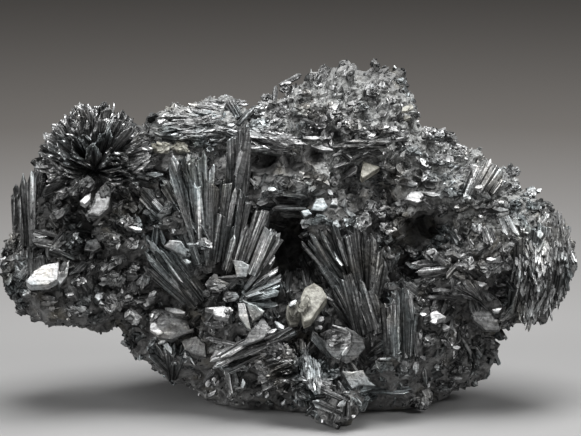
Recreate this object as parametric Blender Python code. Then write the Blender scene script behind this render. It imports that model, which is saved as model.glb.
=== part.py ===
"""Semseyite specimen: dark sulphide matrix overgrown with fans, rosettes and plates of metallic grey tabular crystals.

The specimen stands on its flat broken foot. +X is to the right of the show face, +Y runs into the
specimen, +Z is up, and the origin lies on the foot's flat face. Sizes in this file are in millimetres
and are turned into Blender's metres when each mesh is finished.

Each crystal group is one solid: its blades are grown together, so they are joined. The matrix carries a
druse of small crystals, which is fused to it.
"""

import math
import random
from dataclasses import dataclass

import bmesh
import bpy
from mathutils import Matrix, Vector, noise
from mathutils.kdtree import KDTree

MM = 0.001

# Matrix
LUMP_SUBDIVISIONS = 3
SKIN_VOXEL = 0.6          # the swellings are melted together at this size
KNOB_SIZE = 4.2           # width of the broad knobs of the rough skin
KNOB_HEIGHT = 0.75
LEDGE_SIZE = 1.7          # width of the small ledges and pits
LEDGE_HEIGHT = 0.45
SKIN_FACES = 1150         # faces left after the skin is faceted
FOOT_CUT = 0.0            # height of the flat broken face that it stands on

# Crystals
GAP = 0.32                # clear space between solids that touch
BLADE_SIDES = 6           # corners of a blade's outline, turned so that its ends are cut square
PLATE_SIDES = 8
BURIED_SHARE = 0.7        # blades start this far out from the middle of the knot that joins them


@dataclass(frozen=True)
class Lump:
    """One swelling of the matrix: an ellipsoid, leaning about Y by some degrees."""

    name: str
    centre: tuple
    radii: tuple
    lean: float = 0.0


@dataclass(frozen=True)
class Fan:
    """Blades that open like a hand of cards from one root.

    The middle blade runs from root to tip. The others are turned about the spine, and the blades' width
    lies along the spine. Further tiers are tilted towards the spine, which makes a ball of blades.
    """

    root: tuple
    tip: tuple
    spine: tuple
    sweep: float
    blades: int
    width: float
    thick: float
    tiers: tuple = (0.0,)
    uneven: float = 0.16


@dataclass(frozen=True)
class Plate:
    """A single thick table with a many-sided outline, lying square to its normal."""

    centre: tuple
    normal: tuple
    along: tuple
    length: float
    width: float
    thick: float


@dataclass(frozen=True)
class Group:
    """Crystals grown together into one solid, round one or two knots (centre, radius) at their roots."""

    name: str
    colour: tuple
    knots: tuple
    crystals: tuple
    seed: int


LUMPS = (
    Lump("heart", (-1.6, 2.6, 15.8), (16.0, 7.2, 11.8)),
    Lump("breast", (-1.4, -1.4, 9.6), (9.6, 4.6, 6.4), 10),
    Lump("left_arm", (-13.2, 1.6, 16.6), (11.2, 6.6, 8.6), 6),
    Lump("left_toe", (-21.0, 0.2, 13.6), (6.6, 6.6, 5.8)),
    Lump("left_edge", (-23.4, 0.6, 19.0), (3.6, 4.4, 4.6)),
    Lump("left_head", (-19.4, 1.8, 23.6), (5.0, 4.2, 5.2)),
    Lump("left_shoulder", (-8.8, 3.2, 25.0), (9.4, 6.0, 5.2), -8),
    Lump("crown", (5.6, 4.0, 27.2), (8.4, 6.2, 6.0), 10),
    Lump("crown_peak", (6.0, 3.6, 31.2), (3.8, 3.0, 2.4)),
    Lump("right_shoulder", (13.8, 3.0, 22.8), (6.8, 6.0, 5.0), 14),
    Lump("right_brow", (20.0, 1.2, 20.0), (5.0, 5.0, 4.2), 26),
    Lump("right_arm", (19.0, 1.6, 14.8), (7.8, 6.8, 7.2), 10),
    Lump("right_tip", (24.2, 0.8, 14.4), (3.8, 5.0, 6.4), -4),
    Lump("belly", (9.2, 0.4, 8.2), (11.0, 6.6, 6.4), -8),
    Lump("lower_left", (-8.2, 1.6, 7.6), (8.8, 6.0, 5.4), 26),
    Lump("left_haunch", (-12.0, 0.6, 7.8), (4.2, 4.4, 4.0)),
    Lump("toe_of_foot", (4.4, -6.2, 2.6), (2.9, 3.2, 3.2)),
    Lump("keel", (3.6, 3.4, 3.2), (14.4, 7.8, 5.0)),
    Lump("back", (1.6, 8.8, 16.0), (17.2, 6.6, 10.0)),
    Lump("lower_right", (15.8, 2.2, 5.6), (7.0, 5.2, 4.8), -28),
)

# The vugs, which are dark holes between the crystal groups
HOLLOWS = (
    Lump("vug_beside_great_rosette", (-0.2, -4.6, 17.4), (1.9, 4.6, 4.2)),
    Lump("vug_beside_right_fan", (12.2, -4.8, 19.0), (1.9, 4.2, 1.9)),
    Lump("vug_under_crown", (-1.8, -4.2, 25.0), (1.6, 3.0, 1.3)),
)

TOWARDS_VIEWER = (0.0, -1.0, 0.15)
SEMSEYITE_GREY = (0.13, 0.135, 0.145)
MATRIX_GREY = (0.05, 0.05, 0.048)
SIDERITE_CREAM = (0.52, 0.48, 0.37)

# The groups with the fewest blades come first, because each is cut clear of those before it. Every
# blade and table reaches into one of its group's knots.
GROUPS = (
    Group("siderite_crystal", SIDERITE_CREAM, (((1.3, -7.0, 12.5), 1.1),), (
        Plate((1.9, -7.6, 12.8), (0.35, -0.9, 0.25), (0.5, 0, 1), 3.6, 2.5, 1.5),
        Plate((0.5, -7.4, 11.9), (-0.5, -0.8, 0.3), (0.2, 0, 1), 2.4, 1.6, 1.2),
    ), 71),
    Group("blade_bundle", SEMSEYITE_GREY, (((0.4, -6.7, 9.4), 1.3),), (
        Fan((0.8, -6.9, 9.6), (-8.1, -9.8, 5.3), (0.1, -1.0, 0.4), 16, 5, 2.6, 0.5),
    ), 43),
    Group("round_plate", SEMSEYITE_GREY, (((5.4, -6.6, 8.2), 1.3),), (
        Plate((5.0, -8.5, 8.8), (-0.25, -0.85, 0.45), (0.2, 0, 1), 4.0, 3.6, 1.4),
        Plate((6.8, -7.6, 8.6), (0.6, -0.75, 0.2), (0.2, 0, 1), 3.6, 2.6, 0.7),
        Fan((4.6, -6.9, 7.8), (2.8, -9.4, 10.6), (0.8, -0.8, 0.1), 30, 3, 1.8, 0.45),
    ), 47),
    Group("left_plates", SEMSEYITE_GREY, (((-21.9, -6.6, 15.4), 1.6), ((-20.4, -6.2, 16.6), 1.0)), (
        Plate((-22.7, -8.0, 15.4), (-0.25, -0.7, 0.75), (1, 0.1, 0.25), 4.6, 3.4, 0.8),
        Plate((-19.8, -6.8, 17.2), (0.35, -0.8, 0.4), (0.6, 0, 0.8), 3.2, 2.0, 0.8),
        Fan((-21.8, -6.8, 15.8), (-24.6, -7.2, 18.4), (0.2, -1.0, 0.5), 60, 4, 1.8, 0.45),
    ), 53),
    Group("lower_left_plates", SEMSEYITE_GREY, (((-11.3, -4.6, 8.0), 1.7),), (
        Plate((-11.8, -6.0, 9.6), (-0.35, -0.85, 0.4), (1, 0, -0.1), 3.6, 2.8, 0.8),
        Plate((-11.9, -5.4, 6.5), (-0.15, -0.9, 0.2), (0.3, 0, 1), 3.8, 3.4, 0.9),
        Fan((-10.9, -5.0, 8.0), (-6.6, -7.4, 9.6), (0.1, -0.6, 0.8), 60, 4, 2.0, 0.45),
    ), 59),
    Group("right_end_sheaf", SEMSEYITE_GREY, (((24.3, -4.8, 10.4), 1.6), ((24.8, -5.0, 12.6), 1.3)), (
        Fan((24.4, -5.2, 10.2), (26.6, -5.2, 20.4), (-0.5, -1.0, 0.0), 30, 5, 3.0, 0.6),
    ), 29),
    Group("top_ledge", SEMSEYITE_GREY, (((-6.6, -1.4, 28.2), 1.5),), (
        Fan((-6.0, -1.4, 28.4), (-13.2, -2.8, 29.2), (0.0, -1.0, 0.5), 26, 4, 4.2, 0.6),
        Fan((-6.8, -1.5, 28.2), (-1.2, -2.8, 28.4), (0.1, -1.0, 0.5), 34, 4, 3.4, 0.6),
    ), 41),
    Group("left_edge_fan", SEMSEYITE_GREY, (((-24.0, -5.0, 17.6), 1.5),), (
        Fan((-24.0, -4.8, 17.2), (-26.2, -3.8, 24.6), (-0.35, -1.0, 0.0), 36, 5, 3.2, 0.6),
        Fan((-23.8, -5.2, 17.8), (-22.2, -6.2, 22.6), (-0.2, -1.0, 0.2), 40, 3, 2.2, 0.6),
    ), 5),
    Group("centre_shelf", SEMSEYITE_GREY, (((2.4, -4.0, 22.4), 1.6), ((4.2, -3.4, 22.6), 1.4)), (
        Fan((2.8, -4.0, 22.4), (-2.6, -6.0, 22.6), (0.15, -1.0, 0.35), 36, 5, 3.0, 0.6),
        Fan((3.8, -3.8, 22.6), (7.8, -5.4, 23.6), (-0.2, -1.0, 0.3), 60, 4, 2.2, 0.5),
    ), 37),
    Group("right_fan", SEMSEYITE_GREY, (((16.4, -5.6, 14.4), 1.6),), (
        Fan((16.6, -5.6, 14.6), (11.0, -7.4, 15.7), (0.1, -1.0, 0.2), 52, 5, 2.8, 0.5),
        Fan((16.2, -5.8, 14.2), (18.4, -7.2, 12.2), (0.3, -1.0, 0.2), 70, 4, 1.6, 0.4),
    ), 23),
    Group("right_rosette", SEMSEYITE_GREY, (((19.2, -4.6, 21.0), 1.7),), (
        Fan((19.2, -4.4, 21.2), (18.8, -4.8, 25.8), (0.4, -1.0, 0.2), 120, 5, 2.4, 0.5, (0, 42)),
    ), 31),
    Group("lower_right_group", SEMSEYITE_GREY, (((14.4, -5.4, 7.0), 1.8),), (
        Fan((14.4, -5.2, 6.8), (13.6, -7.0, 11.6), (0.5, -1.0, 0.2), 100, 4, 2.4, 0.55, (0, 36)),
        Fan((14.8, -5.2, 6.4), (17.6, -6.6, 4.0), (0.2, -1.0, 0.6), 70, 3, 2.2, 0.5),
    ), 67),
    Group("lower_rosette", SEMSEYITE_GREY, (((1.0, -6.4, 5.0), 2.1),), (
        Fan((0.8, -6.2, 5.2), (-1.8, -9.2, 6.6), (0.7, -0.5, 0.5), 110, 4, 2.8, 0.6, (-30, 12)),
        Fan((1.4, -6.6, 4.4), (2.0, -9.8, 2.4), (0.9, 0.2, 0.2), 60, 4, 2.8, 0.55),
    ), 61),
    Group("central_fan", SEMSEYITE_GREY, (((7.8, -6.2, 9.4), 2.0), ((10.6, -6.2, 8.6), 1.6)), (
        Fan((7.8, -6.2, 8.9), (3.6, -7.4, 20.6), (0.35, -1.0, 0.1), 32, 6, 3.4, 0.66),
        Fan((8.2, -6.4, 9.4), (9.8, -7.0, 18.4), (0.1, -1.0, 0.1), 24, 3, 2.8, 0.6),
        Fan((11.0, -6.4, 8.4), (11.2, -7.6, 14.0), (0.0, -1.0, 0.1), 26, 3, 2.6, 0.6),
    ), 17),
    Group("great_rosette", SEMSEYITE_GREY, (((-5.6, -6.2, 12.4), 2.3), ((-3.6, -6.8, 10.6), 1.0)), (
        Fan((-5.8, -5.9, 12.2), (-8.8, -4.8, 28.6), (0.12, -1.0, 0.1), 48, 8, 4.0, 0.8),
        Fan((-5.4, -6.1, 12.6), (-2.2, -6.2, 22.2), (-0.2, -1.0, 0.1), 26, 4, 3.2, 0.7),
        Fan((-6.0, -6.8, 12.0), (-14.3, -8.2, 18.7), (0.5, -1.0, 0.45), 12, 4, 3.4, 0.7),
        Fan((-4.8, -6.6, 12.6), (-0.4, -8.4, 14.8), (0.1, -1.0, 0.25), 64, 5, 2.4, 0.5),
        Plate((-2.4, -6.4, 17.6), (0.75, -0.6, 0.2), (-0.12, 0, 1), 4.6, 2.4, 0.6),
        Plate((-3.8, -7.9, 10.6), (0.3, -0.9, 0.2), (0.4, 0, -1), 3.4, 1.6, 0.6),
        Plate((-7.0, -7.8, 12.0), (-0.1, -0.7, 0.7), (1, 0, 0.1), 3.0, 2.0, 0.6),
    ), 11),
    Group("left_rosette", SEMSEYITE_GREY, (((-18.7, -2.8, 24.4), 3.4),), (
        Fan((-18.7, -2.0, 24.8), (-18.3, -2.6, 31.8), TOWARDS_VIEWER, 220, 9, 3.0, 0.8, (-4, 34)),
        Fan((-18.7, -2.4, 24.2), (-18.4, -8.0, 27.6), (1, 0, 0), 70, 3, 3.0, 0.8, (-26, 26)),
    ), 3),
)

# Druse: the small crystals fused to the matrix, as patches of (centre, radius, number)
DRUSE_PATCHES = (
    ((5.6, 1.0, 31.0), 6.6, 16),
    ((13.6, -1.6, 25.0), 5.4, 9),
    ((19.0, -3.6, 16.6), 4.2, 5),
    ((-15.6, -4.6, 13.0), 5.6, 5),
    ((6.0, 10.0, 24.0), 9.0, 4),
    ((-14.0, 8.0, 18.0), 8.0, 3),
)
DRUSE_LENGTH = (1.5, 2.6)
DRUSE_CLEARANCE = 3.0     # from a druse crystal's foot to the nearest corner of a group
DRUSE_SEED = 83


def clear_scene():
    """Empties the scene that Blender starts with."""
    for obj in list(bpy.data.objects):
        bpy.data.objects.remove(obj)


def crystal_material(name, colour, metallic, roughness):
    """A plain finish, one for each node."""
    material = bpy.data.materials.new(name)
    material.use_nodes = True
    shader = material.node_tree.nodes["Principled BSDF"]
    shader.inputs["Base Color"].default_value = (*colour, 1.0)
    shader.inputs["Metallic"].default_value = metallic
    shader.inputs["Roughness"].default_value = roughness
    material.diffuse_color = (*colour, 1.0)
    return material


def object_from(name, bm):
    """A scene object that holds the bmesh, in metres."""
    mesh = bpy.data.meshes.new(name)
    bm.to_mesh(mesh)
    bm.free()
    mesh.transform(Matrix.Scale(MM, 4))
    obj = bpy.data.objects.new(name, mesh)
    bpy.context.collection.objects.link(obj)
    return obj


def helper(obj):
    """Marks a cutter, which is no part of the specimen."""
    obj.hide_render = True
    obj.display_type = "WIRE"
    return obj


def applied(obj):
    """Replaces the object's mesh with what its modifiers make of it."""
    bpy.context.view_layer.update()
    graph = bpy.context.evaluated_depsgraph_get()
    made = bpy.data.meshes.new_from_object(obj.evaluated_get(graph))
    obj.modifiers.clear()
    obj.data = made
    return obj


def boolean(obj, other, operation):
    """Joins or cuts the object with another one; both may hold shells that overlap."""
    modifier = obj.modifiers.new(operation.lower(), "BOOLEAN")
    modifier.operation = operation
    modifier.solver = "EXACT"
    modifier.use_self = True
    modifier.object = other
    return applied(obj)


def keep_largest_piece(obj):
    """Drops slivers and stubs that a cut leaves loose, keeping the piece with most vertices."""
    bm = bmesh.new()
    bm.from_mesh(obj.data)
    seen = set()
    pieces = []
    for start in bm.verts:
        if start in seen:
            continue
        piece = []
        stack = [start]
        seen.add(start)
        while stack:
            vert = stack.pop()
            piece.append(vert)
            for edge in vert.link_edges:
                neighbour = edge.other_vert(vert)
                if neighbour not in seen:
                    seen.add(neighbour)
                    stack.append(neighbour)
        pieces.append(piece)
    pieces.sort(key=len)
    for piece in pieces[:-1]:
        bmesh.ops.delete(bm, geom=piece, context="VERTS")
    bm.to_mesh(obj.data)
    bm.free()


def frame_matrix(origin, along, across):
    """A placement with X along one vector and Y as near as can be to another."""
    x = Vector(along).normalized()
    z = x.cross(Vector(across)).normalized()
    y = z.cross(x)
    return Matrix.Translation(origin) @ Matrix((x, y, z)).transposed().to_4x4()


# Matrix of the specimen


def rough_skin(point):
    """How far the skin stands out at a point: broad knobs, and small ledges with flat tops."""
    knob = noise.noise(point / KNOB_SIZE)
    ledge = noise.noise(point / LEDGE_SIZE + Vector((7.3, 1.9, 4.1)))
    return KNOB_HEIGHT * knob + LEDGE_HEIGHT * round(3 * ledge) / 3


def ellipsoids(name, lumps):
    """The lumps as separate shells in one object."""
    bm = bmesh.new()
    for lump in lumps:
        place = Matrix.Translation(lump.centre) @ Matrix.Rotation(math.radians(lump.lean), 4, "Y")
        size = Matrix.Diagonal((*lump.radii, 1.0))
        bmesh.ops.create_icosphere(bm, subdivisions=LUMP_SUBDIVISIONS, radius=1.0, matrix=place @ size)
    return object_from(name, bm)


def melted(obj):
    """Melts the object's shells together into one even skin."""
    melt = obj.modifiers.new("melt", "REMESH")
    melt.mode = "VOXEL"
    melt.voxel_size = SKIN_VOXEL * MM
    return applied(obj)


def build_matrix():
    """The host rock: swellings melted together, roughened, faceted, and broken off flat at the foot."""
    obj = melted(ellipsoids("matrix", LUMPS))
    boolean(obj, helper(ellipsoids("hollows", HOLLOWS)), "DIFFERENCE")
    melted(obj)
    normals = [vertex.normal.copy() for vertex in obj.data.vertices]
    for vertex, normal in zip(obj.data.vertices, normals):
        vertex.co += normal * MM * rough_skin(vertex.co / MM)
    facet = obj.modifiers.new("facet", "DECIMATE")
    facet.ratio = SKIN_FACES / (2 * len(obj.data.polygons))
    applied(obj)
    break_off_foot(obj)
    return obj


def break_off_foot(obj):
    """Cuts the rock off flat where it stands."""
    bm = bmesh.new()
    bm.from_mesh(obj.data)
    cut = bmesh.ops.bisect_plane(
        bm,
        geom=bm.verts[:] + bm.edges[:] + bm.faces[:],
        plane_co=(0, 0, FOOT_CUT * MM),
        plane_no=(0, 0, -1),
        clear_outer=True,
    )
    rim = [edge for edge in cut["geom_cut"] if isinstance(edge, bmesh.types.BMEdge)]
    bmesh.ops.holes_fill(bm, edges=rim, sides=0)
    bmesh.ops.triangulate(bm, faces=bm.faces[:])
    bmesh.ops.recalc_face_normals(bm, faces=bm.faces[:])
    bm.to_mesh(obj.data)
    bm.free()


def clearance_of(obj):
    """A swollen copy of the rock, which cuts the crystals' roots clear of it."""
    bm = bmesh.new()
    bm.from_mesh(obj.data)
    for vert in bm.verts:
        vert.normal_update()
    for vert in bm.verts:
        vert.co += vert.normal * GAP * MM
    mesh = bpy.data.meshes.new("matrix_clearance")
    bm.to_mesh(mesh)
    bm.free()
    cutter = bpy.data.objects.new("matrix_clearance", mesh)
    bpy.context.collection.objects.link(cutter)
    return helper(cutter)


def free_spots(matrix, groups):
    """Points of the rock with their normals, away from every crystal group."""
    taken = [vertex.co for obj in groups for vertex in obj.data.vertices]
    tree = KDTree(len(taken))
    for index, point in enumerate(taken):
        tree.insert(point, index)
    tree.balance()
    spots = [(v.co, v.normal.copy()) for v in matrix.data.vertices]
    return [(co / MM, normal) for co, normal in spots if tree.find(co)[2] > DRUSE_CLEARANCE * MM]


def grow_druse(matrix, groups):
    """Small tables on the rock's crown, brow and back, fused to it and clear of the groups."""
    rng = random.Random(DRUSE_SEED)
    surface = free_spots(matrix, groups)
    bm = bmesh.new()
    for centre, radius, count in DRUSE_PATCHES:
        near = [spot for spot in surface if (spot[0] - Vector(centre)).length < radius]
        for point, normal in rng.sample(near, min(count, len(near))):
            length = rng.uniform(*DRUSE_LENGTH)
            aim = normal + 0.8 * Vector([rng.uniform(-1, 1) for _ in range(3)])
            across = Vector([rng.uniform(-1, 1) for _ in range(3)])
            place = frame_matrix(point - normal * 0.35 * length, aim, across)
            add_blade(bm, place, length, 0.6 * length, 0.34 * length, 0.0)
    druse = helper(object_from("druse", bm))
    boolean(matrix, druse, "UNION")
    keep_largest_piece(matrix)


# Crystals


def add_blade(bm, place, length, width, thick, slant, sides=BLADE_SIDES):
    """A flat-faced crystal from the placement's origin along its X, with truncated corners at both ends."""
    shear = Matrix.Identity(4)
    shear[0][1] = slant
    size = Matrix.Diagonal((length / 2, width / 2, 1, 1))
    turn = Matrix.Rotation(math.pi / sides, 4, "Z")
    outline = place @ Matrix.Translation((length / 2, 0, -thick / 2)) @ shear @ size @ turn
    base = bmesh.ops.create_circle(bm, cap_ends=True, segments=sides, radius=1.0, matrix=outline)
    faces = list({face for vert in base["verts"] for face in vert.link_faces})
    top = bmesh.ops.extrude_face_region(bm, geom=faces, use_keep_orig=True)
    raised = [item for item in top["geom"] if isinstance(item, bmesh.types.BMVert)]
    rise = (place.to_3x3() @ Vector((0, 0, thick)))
    bmesh.ops.translate(bm, verts=raised, vec=rise)
    bmesh.ops.recalc_face_normals(bm, faces=list({f for v in base["verts"] + raised for f in v.link_faces}))


def grow_fan(bm, fan, buried, rng, swell):
    """Adds a fan's blades, which start out of the knot, swollen by some amount when they serve as a cutter."""
    root = Vector(fan.root)
    middle = Vector(fan.tip) - root
    reach = middle.length
    spine = Vector(fan.spine).normalized()
    spine = (spine - spine.project(middle)).normalized()
    for tier, tilt in enumerate(fan.tiers):
        shift = 0.5 * (tier % 2)
        for index in range(fan.blades):
            share = (index + shift) / max(1, fan.blades - 1) - 0.5
            angle = math.radians(share * fan.sweep)
            aim = Matrix.Rotation(angle, 3, spine) @ middle.normalized()
            lean = math.radians(tilt + rng.uniform(-4, 4))
            along = aim * math.cos(lean) + spine * math.sin(lean)
            across = spine * math.cos(lean) - aim * math.sin(lean)
            across += rng.uniform(-0.12, 0.12) * aim.cross(spine)
            length = reach * (1 - rng.uniform(0, fan.uneven))
            width = fan.width * rng.uniform(0.85, 1.1)
            place = frame_matrix(root + along * (buried - swell), along, across)
            slant = rng.uniform(-0.25, 0.25)
            add_blade(bm, place, length - buried + 2 * swell, width + 2 * swell, fan.thick + 2 * swell, slant)


def grow_plate(bm, plate, swell):
    """Adds a single table."""
    along = Vector(plate.along)
    normal = Vector(plate.normal).normalized()
    along = (along - along.project(normal)).normalized()
    length = plate.length + 2 * swell
    place = frame_matrix(Vector(plate.centre) - along * length / 2, along, normal.cross(along))
    add_blade(bm, place, length, plate.width + 2 * swell, plate.thick + 2 * swell, 0.0, PLATE_SIDES)


def group_shell(group, swell=0.0):
    """The group's knots, and its blades as a second object that is still to be joined to them."""
    rng = random.Random(group.seed)
    bm = bmesh.new()
    for crystal in group.crystals:
        if isinstance(crystal, Fan):
            grow_fan(bm, crystal, BURIED_SHARE * group.knots[0][1], rng, swell)
        else:
            grow_plate(bm, crystal, swell)
    blades = helper(object_from(group.name + "_blades", bm))
    bm = bmesh.new()
    for centre, radius in group.knots:
        place = Matrix.Translation(centre)
        bmesh.ops.create_icosphere(bm, subdivisions=1, radius=radius + swell, matrix=place)
    return object_from(group.name, bm), blades


def build_group(group, rock_clearance, earlier):
    """One crystal group: its blades joined in one solid, clear of the rock and of the groups before it."""
    obj, blades = group_shell(group)
    boolean(obj, blades, "UNION")
    boolean(obj, rock_clearance, "DIFFERENCE")
    for neighbour, built in earlier:
        if boxes_meet(obj, built):
            boolean(obj, swollen_group(neighbour), "DIFFERENCE")
    keep_largest_piece(obj)
    return obj


def swollen_group(group):
    """A slightly larger copy of a group, which keeps its neighbours clear of it."""
    cutter, blades = group_shell(group, GAP)
    cutter.name = group.name + "_clearance"
    boolean(cutter, blades, "UNION")
    return helper(cutter)


def boxes_meet(first, second):
    """Whether the two objects' boxes come within the gap of each other."""
    boxes = []
    for obj in (first, second):
        points = [vertex.co for vertex in obj.data.vertices]
        boxes.append([(min(p[k] for p in points), max(p[k] for p in points)) for k in range(3)])
    gap = GAP * MM
    return all(a[0] < b[1] + gap and b[0] < a[1] + gap for a, b in zip(*boxes))


def main():
    clear_scene()
    matrix = build_matrix()
    rock_clearance = clearance_of(matrix)
    earlier = []
    for group in GROUPS:
        obj = build_group(group, rock_clearance, earlier)
        metallic = 0.0 if group.colour == SIDERITE_CREAM else 0.9
        obj.data.materials.clear()
        obj.data.materials.append(crystal_material(group.name, group.colour, metallic, 0.35))
        earlier.append((group, obj))
    grow_druse(matrix, [obj for _, obj in earlier])
    matrix.data.materials.clear()
    matrix.data.materials.append(crystal_material("matrix", MATRIX_GREY, 0.3, 0.6))


main()
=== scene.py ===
"""Semseyite specimen: metallic grey crystals in fans, rosettes and plates on a dark knobbly rock.

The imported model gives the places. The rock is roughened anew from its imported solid. Each crystal group is
grown again from single crystals, most of them drawn one by one at their places on the show face and seated
on the rock. Slabs, small fans and a druse of grains cover the rock between the groups. Sizes are in
millimetres unless a name says otherwise, and the meshes are in metres.
"""

import logging
import math
import random
from collections.abc import Callable
from dataclasses import dataclass, field
from enum import Enum

import bmesh
import bpy
import numpy as np
from mathutils import Matrix, Vector, noise
from mathutils.bvhtree import BVHTree


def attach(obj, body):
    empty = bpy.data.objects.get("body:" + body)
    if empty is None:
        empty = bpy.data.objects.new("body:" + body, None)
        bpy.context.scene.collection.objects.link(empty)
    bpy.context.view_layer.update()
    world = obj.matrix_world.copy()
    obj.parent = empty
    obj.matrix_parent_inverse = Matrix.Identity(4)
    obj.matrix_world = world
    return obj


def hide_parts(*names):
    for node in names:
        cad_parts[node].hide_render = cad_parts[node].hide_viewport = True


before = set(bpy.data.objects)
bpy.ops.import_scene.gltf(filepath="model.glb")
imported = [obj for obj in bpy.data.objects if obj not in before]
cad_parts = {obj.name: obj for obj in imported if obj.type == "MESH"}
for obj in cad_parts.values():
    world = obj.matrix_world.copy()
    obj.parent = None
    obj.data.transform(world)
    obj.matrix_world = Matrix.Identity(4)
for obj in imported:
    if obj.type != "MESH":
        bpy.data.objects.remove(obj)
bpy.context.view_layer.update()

LOG = logging.getLogger("semseyite")
MM = 0.001

WELD = 0.002

Triple = tuple[float, float, float]
Signal = bpy.types.NodeSocket | float | tuple


def clamped(value: float) -> float:
    """The value, kept from 0 to 1."""
    return min(1.0, max(0.0, value))


def ramped(value: float, start: float, end: float) -> float:
    """How far a value has gone from a start to an end, from 0 to 1."""
    return clamped((value - start) / (end - start))


def stray(rng: random.Random, spread: float = 1.0) -> Vector:
    """A random vector that is mostly short."""
    return Vector([rng.gauss(0, spread) for _ in range(3)])


def boxed(rng: random.Random) -> Vector:
    """A random vector within a cube."""
    return Vector([rng.uniform(-1, 1) for _ in range(3)])


class Habit(Enum):
    """The crystal forms that the specimen is built of."""

    BLADE = "thin blade that widens from its root to a chisel tip, with bevelled edges"
    LATH = "narrow lath with an oblique end"
    TABLE = "many-sided table with terraces"
    SLIP = "small plain blade for sprigs"
    GRAIN = "blocky grain with cut corners"
    FLAKE = "small many-sided flake"


# Crystal forms


@dataclass(frozen=True)
class Template:
    """A crystal one unit long, wide and thick, grown along +X, with how far along it each point is."""

    points: np.ndarray
    triangles: np.ndarray
    reach: np.ndarray


def trim(bm: bmesh.types.BMesh, point: Triple, normal: Triple) -> None:
    """Cuts off what lies past a plane and closes the cut.

    Args:
        bm: the closed form.
        point: a point of the plane.
        normal: points to the side that is cut off.
    """
    geometry = bm.verts[:] + bm.edges[:] + bm.faces[:]
    cut = bmesh.ops.bisect_plane(bm, geom=geometry, plane_co=point, plane_no=normal, clear_outer=True)
    rim = [item for item in cut["geom_cut"] if isinstance(item, bmesh.types.BMEdge)]
    if rim:
        bmesh.ops.edgeloop_fill(bm, edges=rim)


def score(bm: bmesh.types.BMesh, x: float) -> None:
    """Adds a loop of edges across the form, so that it can bend there."""
    geometry = bm.verts[:] + bm.edges[:] + bm.faces[:]
    bmesh.ops.bisect_plane(bm, geom=geometry, plane_co=(x, 0, 0), plane_no=(1, 0, 0))


def soften(bm: bmesh.types.BMesh, width: float) -> None:
    """Bevels the sharp edges, which then catch the light.

    Args:
        bm: the closed form.
        width: how wide the bevel is.
    """
    sharp = [edge for edge in bm.edges if len(edge.link_faces) == 2 and edge.calc_face_angle() > 0.6]
    bmesh.ops.bevel(
        bm, geom=sharp, offset=width, offset_type="OFFSET", affect="EDGES", segments=1, profile=0.5,
        material=-1, clamp_overlap=True,
    )


def finished_template(
    bm: bmesh.types.BMesh, proportions: Triple = (1.0, 1.0, 1.0), even: bool = False
) -> Template:
    """Turns a form into a unit template.

    Args:
        bm: the closed form, which is freed.
        proportions: the size at which it was shaped.
        even: whether it is as bright at its root as at its tip.

    Returns:
        The template.
    """
    bmesh.ops.remove_doubles(bm, verts=bm.verts[:], dist=WELD)
    bmesh.ops.dissolve_degenerate(bm, dist=WELD, edges=bm.edges[:])
    bmesh.ops.recalc_face_normals(bm, faces=bm.faces[:])
    bmesh.ops.triangulate(bm, faces=bm.faces[:])
    bm.verts.index_update()
    points = np.array([vert.co[:] for vert in bm.verts]) / np.array(proportions)
    triangles = np.array([[vert.index for vert in face.verts] for face in bm.faces])
    bm.free()
    return Template(points, triangles, np.ones(len(points)) if even else np.clip(points[:, 0], 0, 1))


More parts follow.
